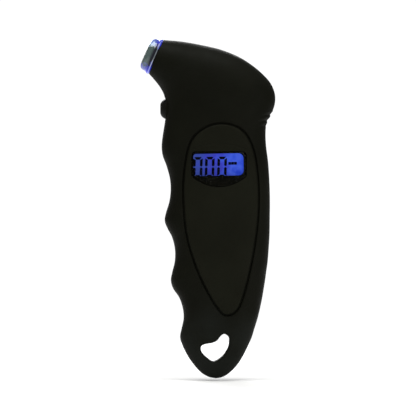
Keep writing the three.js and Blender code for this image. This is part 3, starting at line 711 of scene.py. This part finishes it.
def matching_loops(outer, inner, centre):
    """The two outlines resampled at the same directions from centre."""
    def polar(loop):
        away = loop - centre
        angle = np.unwrap(np.arctan2(away[:, 1], away[:, 0]))
        if angle[-1] < angle[0]:
            away, angle = away[::-1], angle[::-1]
        return angle, np.linalg.norm(away, axis=1)

    outer_angle, outer_radius = polar(outer)
    inner_angle, inner_radius = polar(inner)
    wanted = np.sort(np.concatenate([outer_angle, inner_angle]) % (2 * np.pi))
    wanted = wanted[np.concatenate([[True], np.diff(wanted) > 0.004])]
    result = []
    for angle, radius in ((outer_angle, outer_radius), (inner_angle, inner_radius)):
        r = np.interp(wanted, angle, radius, period=2 * np.pi)
        result.append(centre + np.stack([r * np.cos(wanted), r * np.sin(wanted)], 1))
    return result


def edge_heights(top, radius, steps=5):
    """(distance in from the edge, height) down a rounded edge, from the top face outwards."""
    turn = np.linspace(np.pi / 2, 0, steps)
    return [(radius - radius * math.cos(a), top - radius + radius * math.sin(a)) for a in turn]


def no_relief(flat):
    return 0.0


def framed_sheet(name, outer, inner, centre, top, bottom, edge, inner_edge, loops=26, relief=no_relief):
    """A sheet on the front of the case with a hole in it and both its edges rounded."""
    outer, inner = matching_loops(outer, inner, centre)
    rings = []
    for inset, height in edge_heights(top, inner_edge)[::-1]:
        rings.append(on_case(offset_loop(inner, inset), height))
    start, end = offset_loop(inner, inner_edge), offset_loop(outer, -edge)
    for t in np.linspace(0, 1, loops)[1:-1] ** 1.25:
        flat = start + (end - start) * t
        rings.append(on_case(flat, top + relief(flat)))
    for inset, height in edge_heights(top, edge):
        rings.append(on_case(offset_loop(outer, -inset), height))
    for t in (0, 0.3, 0.65, 1):
        rings.append(on_case(outer + (inner - outer) * t, bottom))
    return rings_object(name, rings, closed_chain=True)


def sheet(name, outer, centre, top, bottom, edge, loops=16):
    """A solid sheet on the front of the case with a rounded edge."""
    rings = [on_case(shrink(outer, centre, f), bottom) for f in (0.05, 0.3, 0.55, 0.8, 1.0)]
    rings += [on_case(offset_loop(outer, -inset), height)
              for inset, height in edge_heights(top, edge)[::-1]]
    inside = offset_loop(outer, -edge)
    rings += [on_case(shrink(inside, centre, f), top) for f in np.linspace(1, 0.04, loops)[1:]]
    return rings_object(name, rings)


def brow(flat):
    """A shallow crease that arches over the window, from corner to corner."""
    reach = (flat[:, 0] - BROW.middle) / BROW.half_width
    arch = BROW.ends + (BROW.top - BROW.ends) * (1 - reach ** 2)
    fade = np.clip((1 - reach ** 2) * 4, 0, 1)
    return -BROW.depth * fade * np.exp(-((flat[:, 1] - arch) / BROW.width) ** 2)


def make_panel():
    outline = offset_loop(closed_spline(PANEL_OUTLINE, 320), -PANEL_INSET)
    return framed_sheet("panel", outline, window_outline(0.12), WINDOW_MIDDLE,
                        PANEL_PROUD, PANEL_BACK, PANEL_EDGE_ROUND, 0.22, loops=48, relief=brow)


def make_window():
    return sheet("window_lens", window_outline(), WINDOW_MIDDLE, 0.22, -0.5, 0.15)


def make_mask():
    return framed_sheet("window_mask", window_outline(0.7), visible_outline(), display_centre(),
                        -1.03, -1.25, 0.05, 0.05, loops=10)


def display_bar(outline):
    """A lit bar on the display's glass, turned with the display."""
    loop = turn_display(np.array(rounded(outline, 0.12, 3)))
    front = LCD.front - 0.14
    return layered("segment", [(loop, front), (loop, front + 0.1)])


def digit_outlines(left):
    """Outlines of the lit segments of a nought: two left, two right, top and bottom."""
    right = left + SEGMENT.width
    top, middle, bottom, gap = SEGMENT.top, SEGMENT.middle, SEGMENT.bottom, SEGMENT.gap
    half = SEGMENT.stroke / 2
    slope = SEGMENT.stroke * 0.6
    outlines = []
    for x, inward in ((left, 1), (right, -1)):
        outer, inner = x - half * inward, x + half * inward
        for end, up in ((top, 1), (bottom, -1)):
            waist = middle + up * (half * 0.8 + gap)
            outlines.append([(outer, end - up * gap), (inner, end - up * (slope + gap)), (inner, waist),
                             (x, middle + up * gap * 1.6), (outer, waist)])
    for z, side in ((top, -1), (bottom, 1)):
        edge = z - half * side * 0.9
        inside = z + half * side * 1.1
        outlines.append([(left - gap, edge), (right + gap, edge),
                         (right - half - gap, inside), (left + half + gap, inside)])
    return [[(x + SEGMENT.lean * (z - middle), z) for x, z in outline] for outline in outlines]


def unit_mark_outlines():
    """A small plain mark of three blocks where a unit would stand."""
    low, high = UNIT_MARK.low, UNIT_MARK.high
    return [rectangle(x, x + UNIT_MARK.width, low, high) for x in UNIT_MARK.lefts]


def make_segments():
    digits = [outline for left in DIGIT_LEFTS for outline in digit_outlines(left)]
    return join([display_bar(outline) for outline in digits + unit_mark_outlines()], "lcd_segments")


def make_lcd_glass():
    """The display's glass, with eased edges."""
    outline = rectangle(LCD.left, LCD.right, LCD.bottom, LCD.top)
    loop = np.array(rounded(outline, 0.5, 5))
    inner = shrink(loop, loop.mean(axis=0), 0.985)
    layers = [(shrink(inner, inner.mean(axis=0), f), LCD.front) for f in (0.2, 0.5, 0.8, 1)]
    layers += [(loop, LCD.front + 0.2), (loop, LCD.back - 0.2), (inner, LCD.back)]
    return layered("lcd_glass", layers)


# ------------------------------------------------------------------ nozzle

def make_nozzle_lens():
    """Clear collar and tip, turned as one piece."""
    profile = [(5.5, -8.3), (6.6, -8.3), (6.6, 0.15), (8.6, 0.15), (8.6, 1.2), (8.1, 1.6),
               (7.85, 2.2), (7.8, 3.5), (7.3, 4.6), (5.95, 5.2), (4.6, 5.2), (4.6, 4.0), (5.5, 3.9)]
    return turned("nozzle_tip", rounded(profile, 0.45, 5), 128, nozzle_place)


def make_nozzle_core():
    """Valve socket with a ribbed hose barb behind it."""
    profile = [(0.7, -13.6), (1.2, -13.6), (1.35, -12.4), (1.0, -12.1), (1.35, -11.0), (1.0, -10.7),
               (1.2, -9.0), (5.2, -9.0), (5.2, 3.6), (4.3, 3.6), (4.3, -7.4), (0.7, -7.4)]
    return turned("valve_socket", rounded(profile, 0.2, 3), 96, nozzle_place)


# ------------------------------------------------------------------ button, cover and screws

def make_button():
    """Domed push button with a soft shoulder and a shallow thumb dish."""
    profile = [(0, 0.12), (0.8, 0.1), (1.5, 0.06), (2.2, 0.12), (3.0, 0.42), (3.7, 0.95),
               (4.3, 1.7), (BUTTON_RADIUS, 2.8), (BUTTON_RADIUS, 6.7), (5.5, 6.7), (5.5, 7.3), (0, 7.3)]
    profile = [(0, profile[0][1])] + rounded(profile[1:-1], 0.5, 4, closed=False) + [(0, 7.3)]
    return turned("push_button", profile, 96, along_axis((BUTTON_TIP_X, 0, BUTTON_Z), (1, 0, 0)))


def make_cover():
    """Round battery cover: bevelled disc with a skirt, two lugs, a coin slot, grips and an arrow."""
    thickness = COVER.top - COVER.bottom
    disc = [(0, 0), (COVER.radius, 0), (COVER.radius, thickness - 0.35),
            (COVER.radius - 0.35, thickness), (9.3, thickness), (9.0, thickness - 0.22),
            (8.6, thickness - 0.22), (8.3, thickness), (0, thickness)]
    disc = [(0, 0)] + rounded(disc[1:-1], 0.18, 3, closed=False) + [(0, thickness)]
    axis = along_axis((BAY[0], COVER.bottom, BAY[1]), (0, 1, 0))
    cover = turned("back_cover", disc, 128, axis)
    skirt = rectangle(SKIRT.inner, SKIRT.outer, SKIRT.low, SKIRT.high)
    boolean(cover, turned("skirt", skirt, 96, axis), "UNION")
    boolean(cover, join(sectors(LUG), "lugs"), "UNION")
    boolean(cover, coin_slot(), "DIFFERENCE")
    cut_away(cover, *dots_round_bay(GRIP_NOTCH, COVER.top))
    boolean(cover, cover_arrow(), "UNION")
    return cover


def coin_slot():
    """The cutter for the cover's slot, narrowed at its floor and eased at its mouth."""
    length, width, top = COIN_SLOT.half_length, COIN_SLOT.half_width, COVER.top
    slot = np.array(rounded(rectangle(-length, length, -width, width), COIN_SLOT.corner, 6)) + BAY
    mouth = offset_loop(slot, 0.15)
    layers = ((shrink(slot, slot.mean(axis=0), 0.9), top - COIN_SLOT.depth), (slot, top - 0.5),
              (slot, top - 0.12), (mouth, top + 0.02), (mouth, 15))
    return layered("coin_slot", layers)


def cover_arrow():
    """A small raised arrowhead on the cover, which points away from its middle."""
    corners = [(-ARROW.half_width, ARROW.foot), (ARROW.half_width, ARROW.foot),
               (0, ARROW.point)]
    arrow = np.array(rounded(corners, 0.3, 3)) + BAY
    top = COVER.top
    layers = ((arrow, top - 0.3), (arrow, top + ARROW.proud - 0.1),
              (shrink(arrow, arrow.mean(axis=0), 0.85), top + ARROW.proud))
    return layered("arrow", layers)


def make_screw(name, x, z):
    """Pan-head cross-recess screw that lies along Y."""
    head = SCREW_HEAD_Y[1] - SCREW_HEAD_Y[0]
    shaft = [(0, -14.2), (0.5, -14.2), (1.3, -12.8)]
    for turn in range(14):
        z0 = -12.2 + turn * 0.8
        shaft += [(1.0, z0), (1.3, z0 + 0.3), (1.3, z0 + 0.42)]
    dome = [(2.7, 0), (2.7, head * 0.45), (2.45, head * 0.75), (1.9, head * 0.93), (1.2, head), (0, head)]
    profile = shaft + [(1.2, -0.3), (1.3, 0)] + dome
    screw = turned(name, profile, 48, along_axis((x, SCREW_HEAD_Y[0], z), (0, 1, 0)))
    for dx, dz in ((1.35, 0.3), (0.3, 1.35)):
        low = (x - dx, SCREW_HEAD_Y[1] - 0.9, z - dz)
        boolean(screw, block("recess", low, (x + dx, SCREW_HEAD_Y[1] + 1, z + dz)), "DIFFERENCE")
    return screw


# ------------------------------------------------------------------ materials

class Graph:
    """Shader nodes of a material or world. An input may be a number, a colour or a socket."""

    def __init__(self, owner, shader_name):
        owner.use_nodes = True
        self.owner = owner
        self.nodes, self.links = owner.node_tree.nodes, owner.node_tree.links
        self.shader = self.nodes[shader_name]

    def fill(self, node, inputs):
        for key, value in inputs.items():
            socket = node.inputs[key]
            if isinstance(value, bpy.types.NodeSocket):
                self.links.new(value, socket)
            else:
                socket.default_value = (*value, 1) if socket.type == "RGBA" else value

    def node(self, kind, inputs=None, **settings):
        made = self.nodes.new("ShaderNode" + kind)
        for key, value in settings.items():
            setattr(made, key, value)
        self.fill(made, inputs or {})
        return made

    def position(self):
        return self.node("TexCoord").outputs["Object"]

    def axis(self, letter):
        return self.node("SeparateXYZ", {"Vector": self.position()}).outputs[letter]

    def noise(self, scale, detail=3, stretch=(1, 1, 1)):
        """A noise value in object space; scale is in cells per metre."""
        stretched = self.node("Mapping", {"Vector": self.position(), "Scale": stretch}).outputs["Vector"]
        return self.node("TexNoise", {"Vector": stretched, "Scale": scale, "Detail": detail}).outputs["Fac"]

    def ramp(self, value, stops):
        """A colour ramp over value; stops are (position, colour)."""
        made = self.node("ValToRGB", {"Fac": value})
        elements = made.color_ramp.elements
        while len(elements) < len(stops):
            elements.new(0.5)
        for element, (position, color) in zip(elements, stops):
            element.position = position
            element.color = (*color, 1)
        return made.outputs["Color"]

    def remap(self, value, low, high, from_low=0.3, from_high=0.7):
        return self.node("MapRange", {"Value": value, "From Min": from_low, "From Max": from_high,
                                      "To Min": low, "To Max": high}).outputs["Result"]

    def math(self, operation, a, b):
        return self.node("Math", {0: a, 1: b}, operation=operation).outputs["Value"]

    def mix(self, factor, a, b):
        inputs = {"Factor": factor, "A": a, "B": b}
        return self.node("Mix", inputs, data_type="RGBA").outputs["Result"]

    def bump(self, height, strength, distance):
        made = self.node("Bump", {"Height": height, "Strength": strength, "Distance": distance})
        self.fill(self.shader, {"Normal": made.outputs["Normal"]})


def material(name, color, roughness, metallic=0.0, specular=0.5):
    """The graph of a new Principled material."""
    graph = Graph(bpy.data.materials.new(name), "Principled BSDF")
    graph.fill(graph.shader, {"Base Color": color, "Roughness": roughness, "Metallic": metallic,
                              "Specular IOR Level": specular})
    return graph


def moulded(name, dark, light, rough_low, rough_high, specular=0.5, grain=2600, bump=0.25):
    """Moulded plastic or rubber: fine grain, cloudy colour and uneven gloss."""
    graph = material(name, dark, rough_low, specular=specular)
    graph.fill(graph.shader, {
        "Base Color": graph.ramp(graph.noise(55, 4), [(0.3, dark), (0.7, light)]),
        "Roughness": graph.remap(graph.noise(130), rough_low, rough_high)})
    graph.bump(graph.noise(grain, 2), bump, 0.00004)
    return graph


def soft_touch():
    """Soft-touch black: olive in the grip, with a painted highlight that makes the head and the tip paler
    and cooler, where they catch more light.
    """
    graph = moulded("soft_touch", (0.0042, 0.0044, 0.0025), (0.006, 0.0062, 0.0037), 0.5, 0.64, 0.04)
    base = graph.shader.inputs["Base Color"].links[0].from_socket
    height = graph.math("ADD", graph.axis("Z"), graph.remap(graph.noise(70), -0.012, 0.012))
    # Painted highlight: masks for the head and the tip, where the colour is mixed towards a paler, cooler
    # grey that stands in for light.
    tip = graph.remap(height, 0.95, 0, -0.074, -0.042)
    head = graph.remap(height, 0, 0.15, 0.05, 0.07)
    painted_sheen = graph.mix(graph.math("MAXIMUM", tip, head), base, (0.0098, 0.011, 0.009))
    graph.fill(graph.shader, {"Base Color": painted_sheen})
    return graph


def metal(name, color, low, high):
    """Plated or turned metal with fine directional marks."""
    graph = material(name, color, low, metallic=1.0)
    marks = graph.noise(900, stretch=(1, 1, 12))
    dark = tuple(c * 0.78 for c in color)
    graph.fill(graph.shader, {"Base Color": graph.ramp(marks, [(0.3, dark), (0.75, color)]),
                              "Roughness": graph.remap(marks, low, high)})
    graph.bump(marks, 0.1, 0.00003)
    return graph


def thin_glass():
    """Flat clear plastic: see-through, with a weak sheen and faint smears."""
    graph = material("window_clear", (0.001, 0.001, 0.001), 0.08, specular=0.3)
    graph.fill(graph.shader, {"Roughness": graph.remap(graph.noise(260), 0.05, 0.14)})
    facing = graph.node("LayerWeight", {"Blend": 0.5}).outputs["Facing"]
    sheen = graph.remap(graph.math("POWER", facing, 5), 0.03, 1, 0, 1)
    clear = graph.node("BsdfTransparent", {"Color": (0.97, 0.98, 1.0)})
    mixed = graph.node("MixShader", {0: sheen, 1: clear.outputs["BSDF"], 2: graph.shader.outputs["BSDF"]})
    graph.fill(graph.nodes["Material Output"], {"Surface": mixed.outputs["Shader"]})
    return graph


def lit_nozzle():
    """Smoky clear plastic lit blue by the gauge's LED, with light painted into its emission: the blue glow
    brightest at its crown, its foot and the ends of its flange, where the edges show it from the front, a
    painted highlight near the crown and a painted highlight line round the flange.
    """
    # The first colour is near-black: painted shade for the dark band over the flange and the groove behind
    # it.
    flange_shade_color, smoke = (0.003, 0.003, 0.008), (0.06, 0.085, 0.08)
    graph = material("lit_clear", smoke, 0.05)
    from_centre = graph.node("VectorMath", {0: graph.position(), 1: tuple(NOZZLE_CENTRE * MM)},
                             operation="SUBTRACT").outputs["Vector"]

    def along(direction):
        inputs = {0: from_centre, 1: tuple(direction)}
        return graph.node("VectorMath", inputs, operation="DOT_PRODUCT").outputs["Value"]

    def band(value, start, full, fade, end):
        """1 between full and fade, falling to 0 at start and end."""
        return graph.math("MULTIPLY", graph.remap(value, 0, 1, start, full),
                          graph.remap(value, 1, 0, fade, end))

    radius = 8.6 * MM
    up = graph.remap(along((math.sin(NOZZLE_TILT), 0, math.cos(NOZZLE_TILT))), 0, 1, -radius, radius)
    height = graph.math("ADD", up, graph.remap(graph.noise(520), -0.07, 0.07))
    forward = along(nozzle_direction)
    on_tip = graph.remap(forward, 0, 1, 1.7 * MM, 3.0 * MM)
    # Painted light on the tip: blue glow at its crown and foot, a faint grey-green glow over its middle as
    # a painted reflection, and a pale painted highlight near its crown.
    tip = graph.ramp(height, [
        (0.0, (0.04, 0.04, 0.4)), (0.14, (0.06, 0.065, 0.36)), (0.23, (0.035, 0.052, 0.05)),
        (0.68, (0.018, 0.028, 0.025)), (0.76, (0.4, 0.54, 0.8)), (0.85, (0.035, 0.045, 0.5)),
        (1.0, (0.03, 0.06, 0.14))])
    # Painted light on the flange: blue glow at its two ends, none in its middle.
    flange = graph.ramp(height, [
        (0.0, (0.02, 0.03, 0.8)), (0.14, (0.01, 0.015, 0.45)), (0.26, (0.001, 0.001, 0.004)),
        (0.74, (0.001, 0.001, 0.004)), (0.84, (0.015, 0.02, 0.5)), (1.0, (0.05, 0.08, 0.8))])
    # Painted highlight: a pale line round the flange, bluer at its ends.
    highlight_line_color = graph.ramp(height, [
        (0.0, (0.3, 0.36, 0.95)), (0.25, (0.4, 0.46, 0.7)), (0.4, (0.16, 0.19, 0.18)),
        (0.65, (0.16, 0.2, 0.22)), (0.8, (0.3, 0.36, 0.9)), (1.0, (0.25, 0.32, 0.95))])
    line = band(forward, 0.4 * MM, 0.55 * MM, 0.75 * MM, 0.9 * MM)
    see_through = graph.math("MULTIPLY", band(height, 0.18, 0.3, 0.6, 0.72), on_tip)
    graph.fill(graph.shader, {
        "Base Color": graph.mix(on_tip, flange_shade_color, smoke),
        "Roughness": graph.remap(graph.noise(300), 0.05, 0.1),
        "IOR": 1.49,
        "Transmission Weight": graph.remap(see_through, 0.02, 0.25, 0, 1),
        "Emission Color": graph.mix(on_tip, graph.mix(line, flange, highlight_line_color), tip),
        "Emission Strength": 0.85})
    return graph


def lit_display():
    """Backlit blue display, lit from its right end: dimmer to the left and along its lower edge."""
    graph = material("display_blue", (0.004, 0.006, 0.05), 0.3, specular=0.2)
    across = graph.remap(graph.axis("X"), 0, 1, VISIBLE.left * MM, VISIBLE.right * MM)
    clouded = graph.math("ADD", across, graph.remap(graph.noise(190), -0.22, 0.22))
    bottom = (VISIBLE.bottom - 0.5) * MM
    graph.fill(graph.shader, {
        "Emission Color": graph.ramp(clouded, [
            (0.0, (0.03, 0.055, 0.27)), (0.25, (0.03, 0.05, 0.33)), (0.45, (0.034, 0.038, 0.42)),
            (0.62, (0.036, 0.07, 0.52)), (0.78, (0.045, 0.1, 0.62)), (1.0, (0.012, 0.045, 0.5))]),
        "Emission Strength": graph.remap(graph.axis("Z"), 0.75, 1.1, bottom, 19 * MM)})
    return graph


def board_material():
    """Green solder mask with copper tracks showing through as paler lines."""
    graph = material("solder_mask", (0.01, 0.09, 0.03), 0.3)
    turned_over = graph.node("Mapping", {"Vector": graph.position(), "Rotation": (math.pi / 2, 0, 0)})
    tracks = graph.node("TexBrick", {
        "Vector": turned_over.outputs["Vector"], "Scale": 420, "Color1": (0.008, 0.075, 0.025),
        "Color2": (0.012, 0.1, 0.035), "Mortar": (0.03, 0.2, 0.07)})
    graph.fill(graph.shader, {"Base Color": tracks.outputs["Color"]})
    return graph


finishes = {
    "soft_black": soft_touch(),
    "panel_black": moulded("panel_matte", (0.0065, 0.0067, 0.0038), (0.0087, 0.009, 0.0052),
                           0.55, 0.7, 0.04, grain=3400),
    "mask_black": moulded("gloss_print", (0.0038, 0.0036, 0.0018), (0.005, 0.0047, 0.0024),
                          0.2, 0.3, 0.06, bump=0.03),
    "light_guide": moulded("diffuser", (0.7, 0.74, 0.85), (0.8, 0.84, 0.95), 0.35, 0.5),
    "elastomer": moulded("elastomer", (0.02, 0.02, 0.025), (0.06, 0.06, 0.07), 0.6, 0.8),
    "holder_plastic": moulded("holder", (0.55, 0.54, 0.48), (0.66, 0.65, 0.6), 0.45, 0.6),
    "chip_black": moulded("epoxy", (0.006, 0.006, 0.006), (0.014, 0.014, 0.014), 0.25, 0.45),
    "hose_silicone": moulded("silicone", (0.6, 0.6, 0.55), (0.75, 0.75, 0.7), 0.35, 0.5),
    "core_plastic": moulded("socket_plastic", (0.012, 0.016, 0.015), (0.07, 0.09, 0.085),
                            0.25, 0.5, grain=900),
    "seal_rubber": moulded("seal", (0.008, 0.008, 0.008), (0.016, 0.016, 0.016), 0.6, 0.8),
    "button_rubber": moulded("button_soft", (0.006, 0.006, 0.005), (0.0085, 0.0088, 0.0065),
                             0.42, 0.55, 0.08),
    "wire_red": moulded("insulation", (0.25, 0.012, 0.012), (0.35, 0.02, 0.02), 0.35, 0.5),
    "steel": metal("plated_steel", (0.3, 0.3, 0.31), 0.3, 0.45),
    "brass": metal("turned_brass", (0.78, 0.53, 0.22), 0.2, 0.35),
    "board_green": board_material(),
    "lcd_blue": lit_display(),
    "clear_plastic": lit_nozzle(),
    "led_blue": moulded("led_epoxy", (0.2, 0.35, 0.9), (0.3, 0.5, 1.0), 0.1, 0.2),
}
window_clear = thin_glass()
segment_black = moulded("segment_black", (0.0004, 0.0004, 0.002), (0.001, 0.001, 0.006), 0.4, 0.5, 0.05)


# ------------------------------------------------------------------ placing the pieces

def place(piece, body, slot, *nodes, finish=None):
    """Gives a piece the finish of its slot, unless another finish is given, and its body, and hides the CAD
    nodes that it stands for.
    """
    piece.data.materials.clear()
    piece.data.materials.append((finish or finishes[slot]).owner)
    if nodes:
        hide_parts(*nodes)
    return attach(piece, body)


place(make_front(), "case", "soft_black", "front_shell")
place(make_back(), "case", "soft_black", "back_shell")
place(make_panel(), "case", "panel_black", "face_panel")
place(make_window(), "case", "clear_plastic", "display_window", finish=window_clear)
place(make_mask(), "case", "mask_black", "display_mask")
place(make_lcd_glass(), "case", "lcd_blue", "lcd_cell")
place(make_segments(), "case", "mask_black", finish=segment_black)
place(make_nozzle_lens(), "case", "clear_plastic", "nozzle_lens")
place(make_nozzle_core(), "case", "core_plastic", "nozzle_core")
place(make_button(), "button", "button_rubber", "power_button")
place(make_cover(), "cover", "soft_black", "battery_cover")
for number, (screw_x, screw_z) in enumerate(CASE_SCREWS, 1):
    screw_piece = make_screw(f"closing_screw_{number}", screw_x, screw_z)
    place(screw_piece, "case", "steel", f"case_screw_{number}")

# CAD nodes that stay get the finish of their slot.
slot_of = {row["node"]: row["material_slot"] for row in frame["record"]["subparts"]}
for node_name, node in frame["nodes"].items():
    if not node.hide_render:
        node.data.materials.clear()
        node.data.materials.append(finishes[slot_of[node_name]].owner)


# ------------------------------------------------------------------ stage, light and camera

def make_floor():
    radius, sides = 0.6, 96
    floor_z = cad_low.z - 0.001
    turns = [2 * math.pi * i / sides for i in range(sides)]
    rim = [(radius * math.cos(turn), radius * math.sin(turn), floor_z) for turn in turns]
    floor = new_object("floor", rim, [tuple(range(sides))], scale=1)
    white = moulded("floor_white", (0.86, 0.86, 0.86), (0.9, 0.9, 0.9), 0.8, 0.9, 0.1, grain=400, bump=0.02)
    floor.data.materials.append(white.owner)


def make_world():
    """White for the camera, dimmer as a light."""
    graph = Graph(bpy.data.worlds.new("studio"), "Background")
    seen = graph.node("LightPath").outputs["Is Camera Ray"]
    graph.fill(graph.shader, {"Color": (1, 1, 1), "Strength": graph.remap(seen, 0.3, 1.05, 0, 1)})
    bpy.context.scene.world = graph.owner


def area_light(name, location, size, power, color=(1, 1, 1)):
    """A soft round light, in metres and watts, aimed at the object's middle."""
    light = bpy.data.lights.new(name, "AREA")
    light.shape = "DISK"
    light.size = size
    light.energy = power
    light.color = color
    obj = bpy.data.objects.new(name, light)
    obj.location = location
    obj.rotation_mode = "QUATERNION"
    obj.rotation_quaternion = (-Vector(location)).to_track_quat("-Z", "Y")
    bpy.context.scene.collection.objects.link(obj)


def make_camera():
    """A long lens straight in front, at the height of the object's middle."""
    camera = bpy.data.cameras.new("camera")
    camera.lens = 400
    camera.sensor_width = 36
    camera.clip_start = 0.05
    camera.clip_end = 50
    obj = bpy.data.objects.new("camera", camera)
    frame_height = 0.1894
    distance = frame_height * camera.lens / camera.sensor_width
    obj.location = (0, -distance, 0)
    obj.rotation_euler = (math.pi / 2, 0, 0)
    bpy.context.scene.collection.objects.link(obj)
    bpy.context.scene.camera = obj


make_floor()
make_world()
area_light("key", (0.0, -0.35, 1.5), 1.2, 23.5, (1.0, 1.0, 0.98))
area_light("fill", (0.8, -1.1, 0.2), 0.8, 4)
area_light("back", (-0.2, 1.2, 0.6), 0.9, 13)
make_camera()
bpy.context.scene.view_settings.view_transform = "Standard"
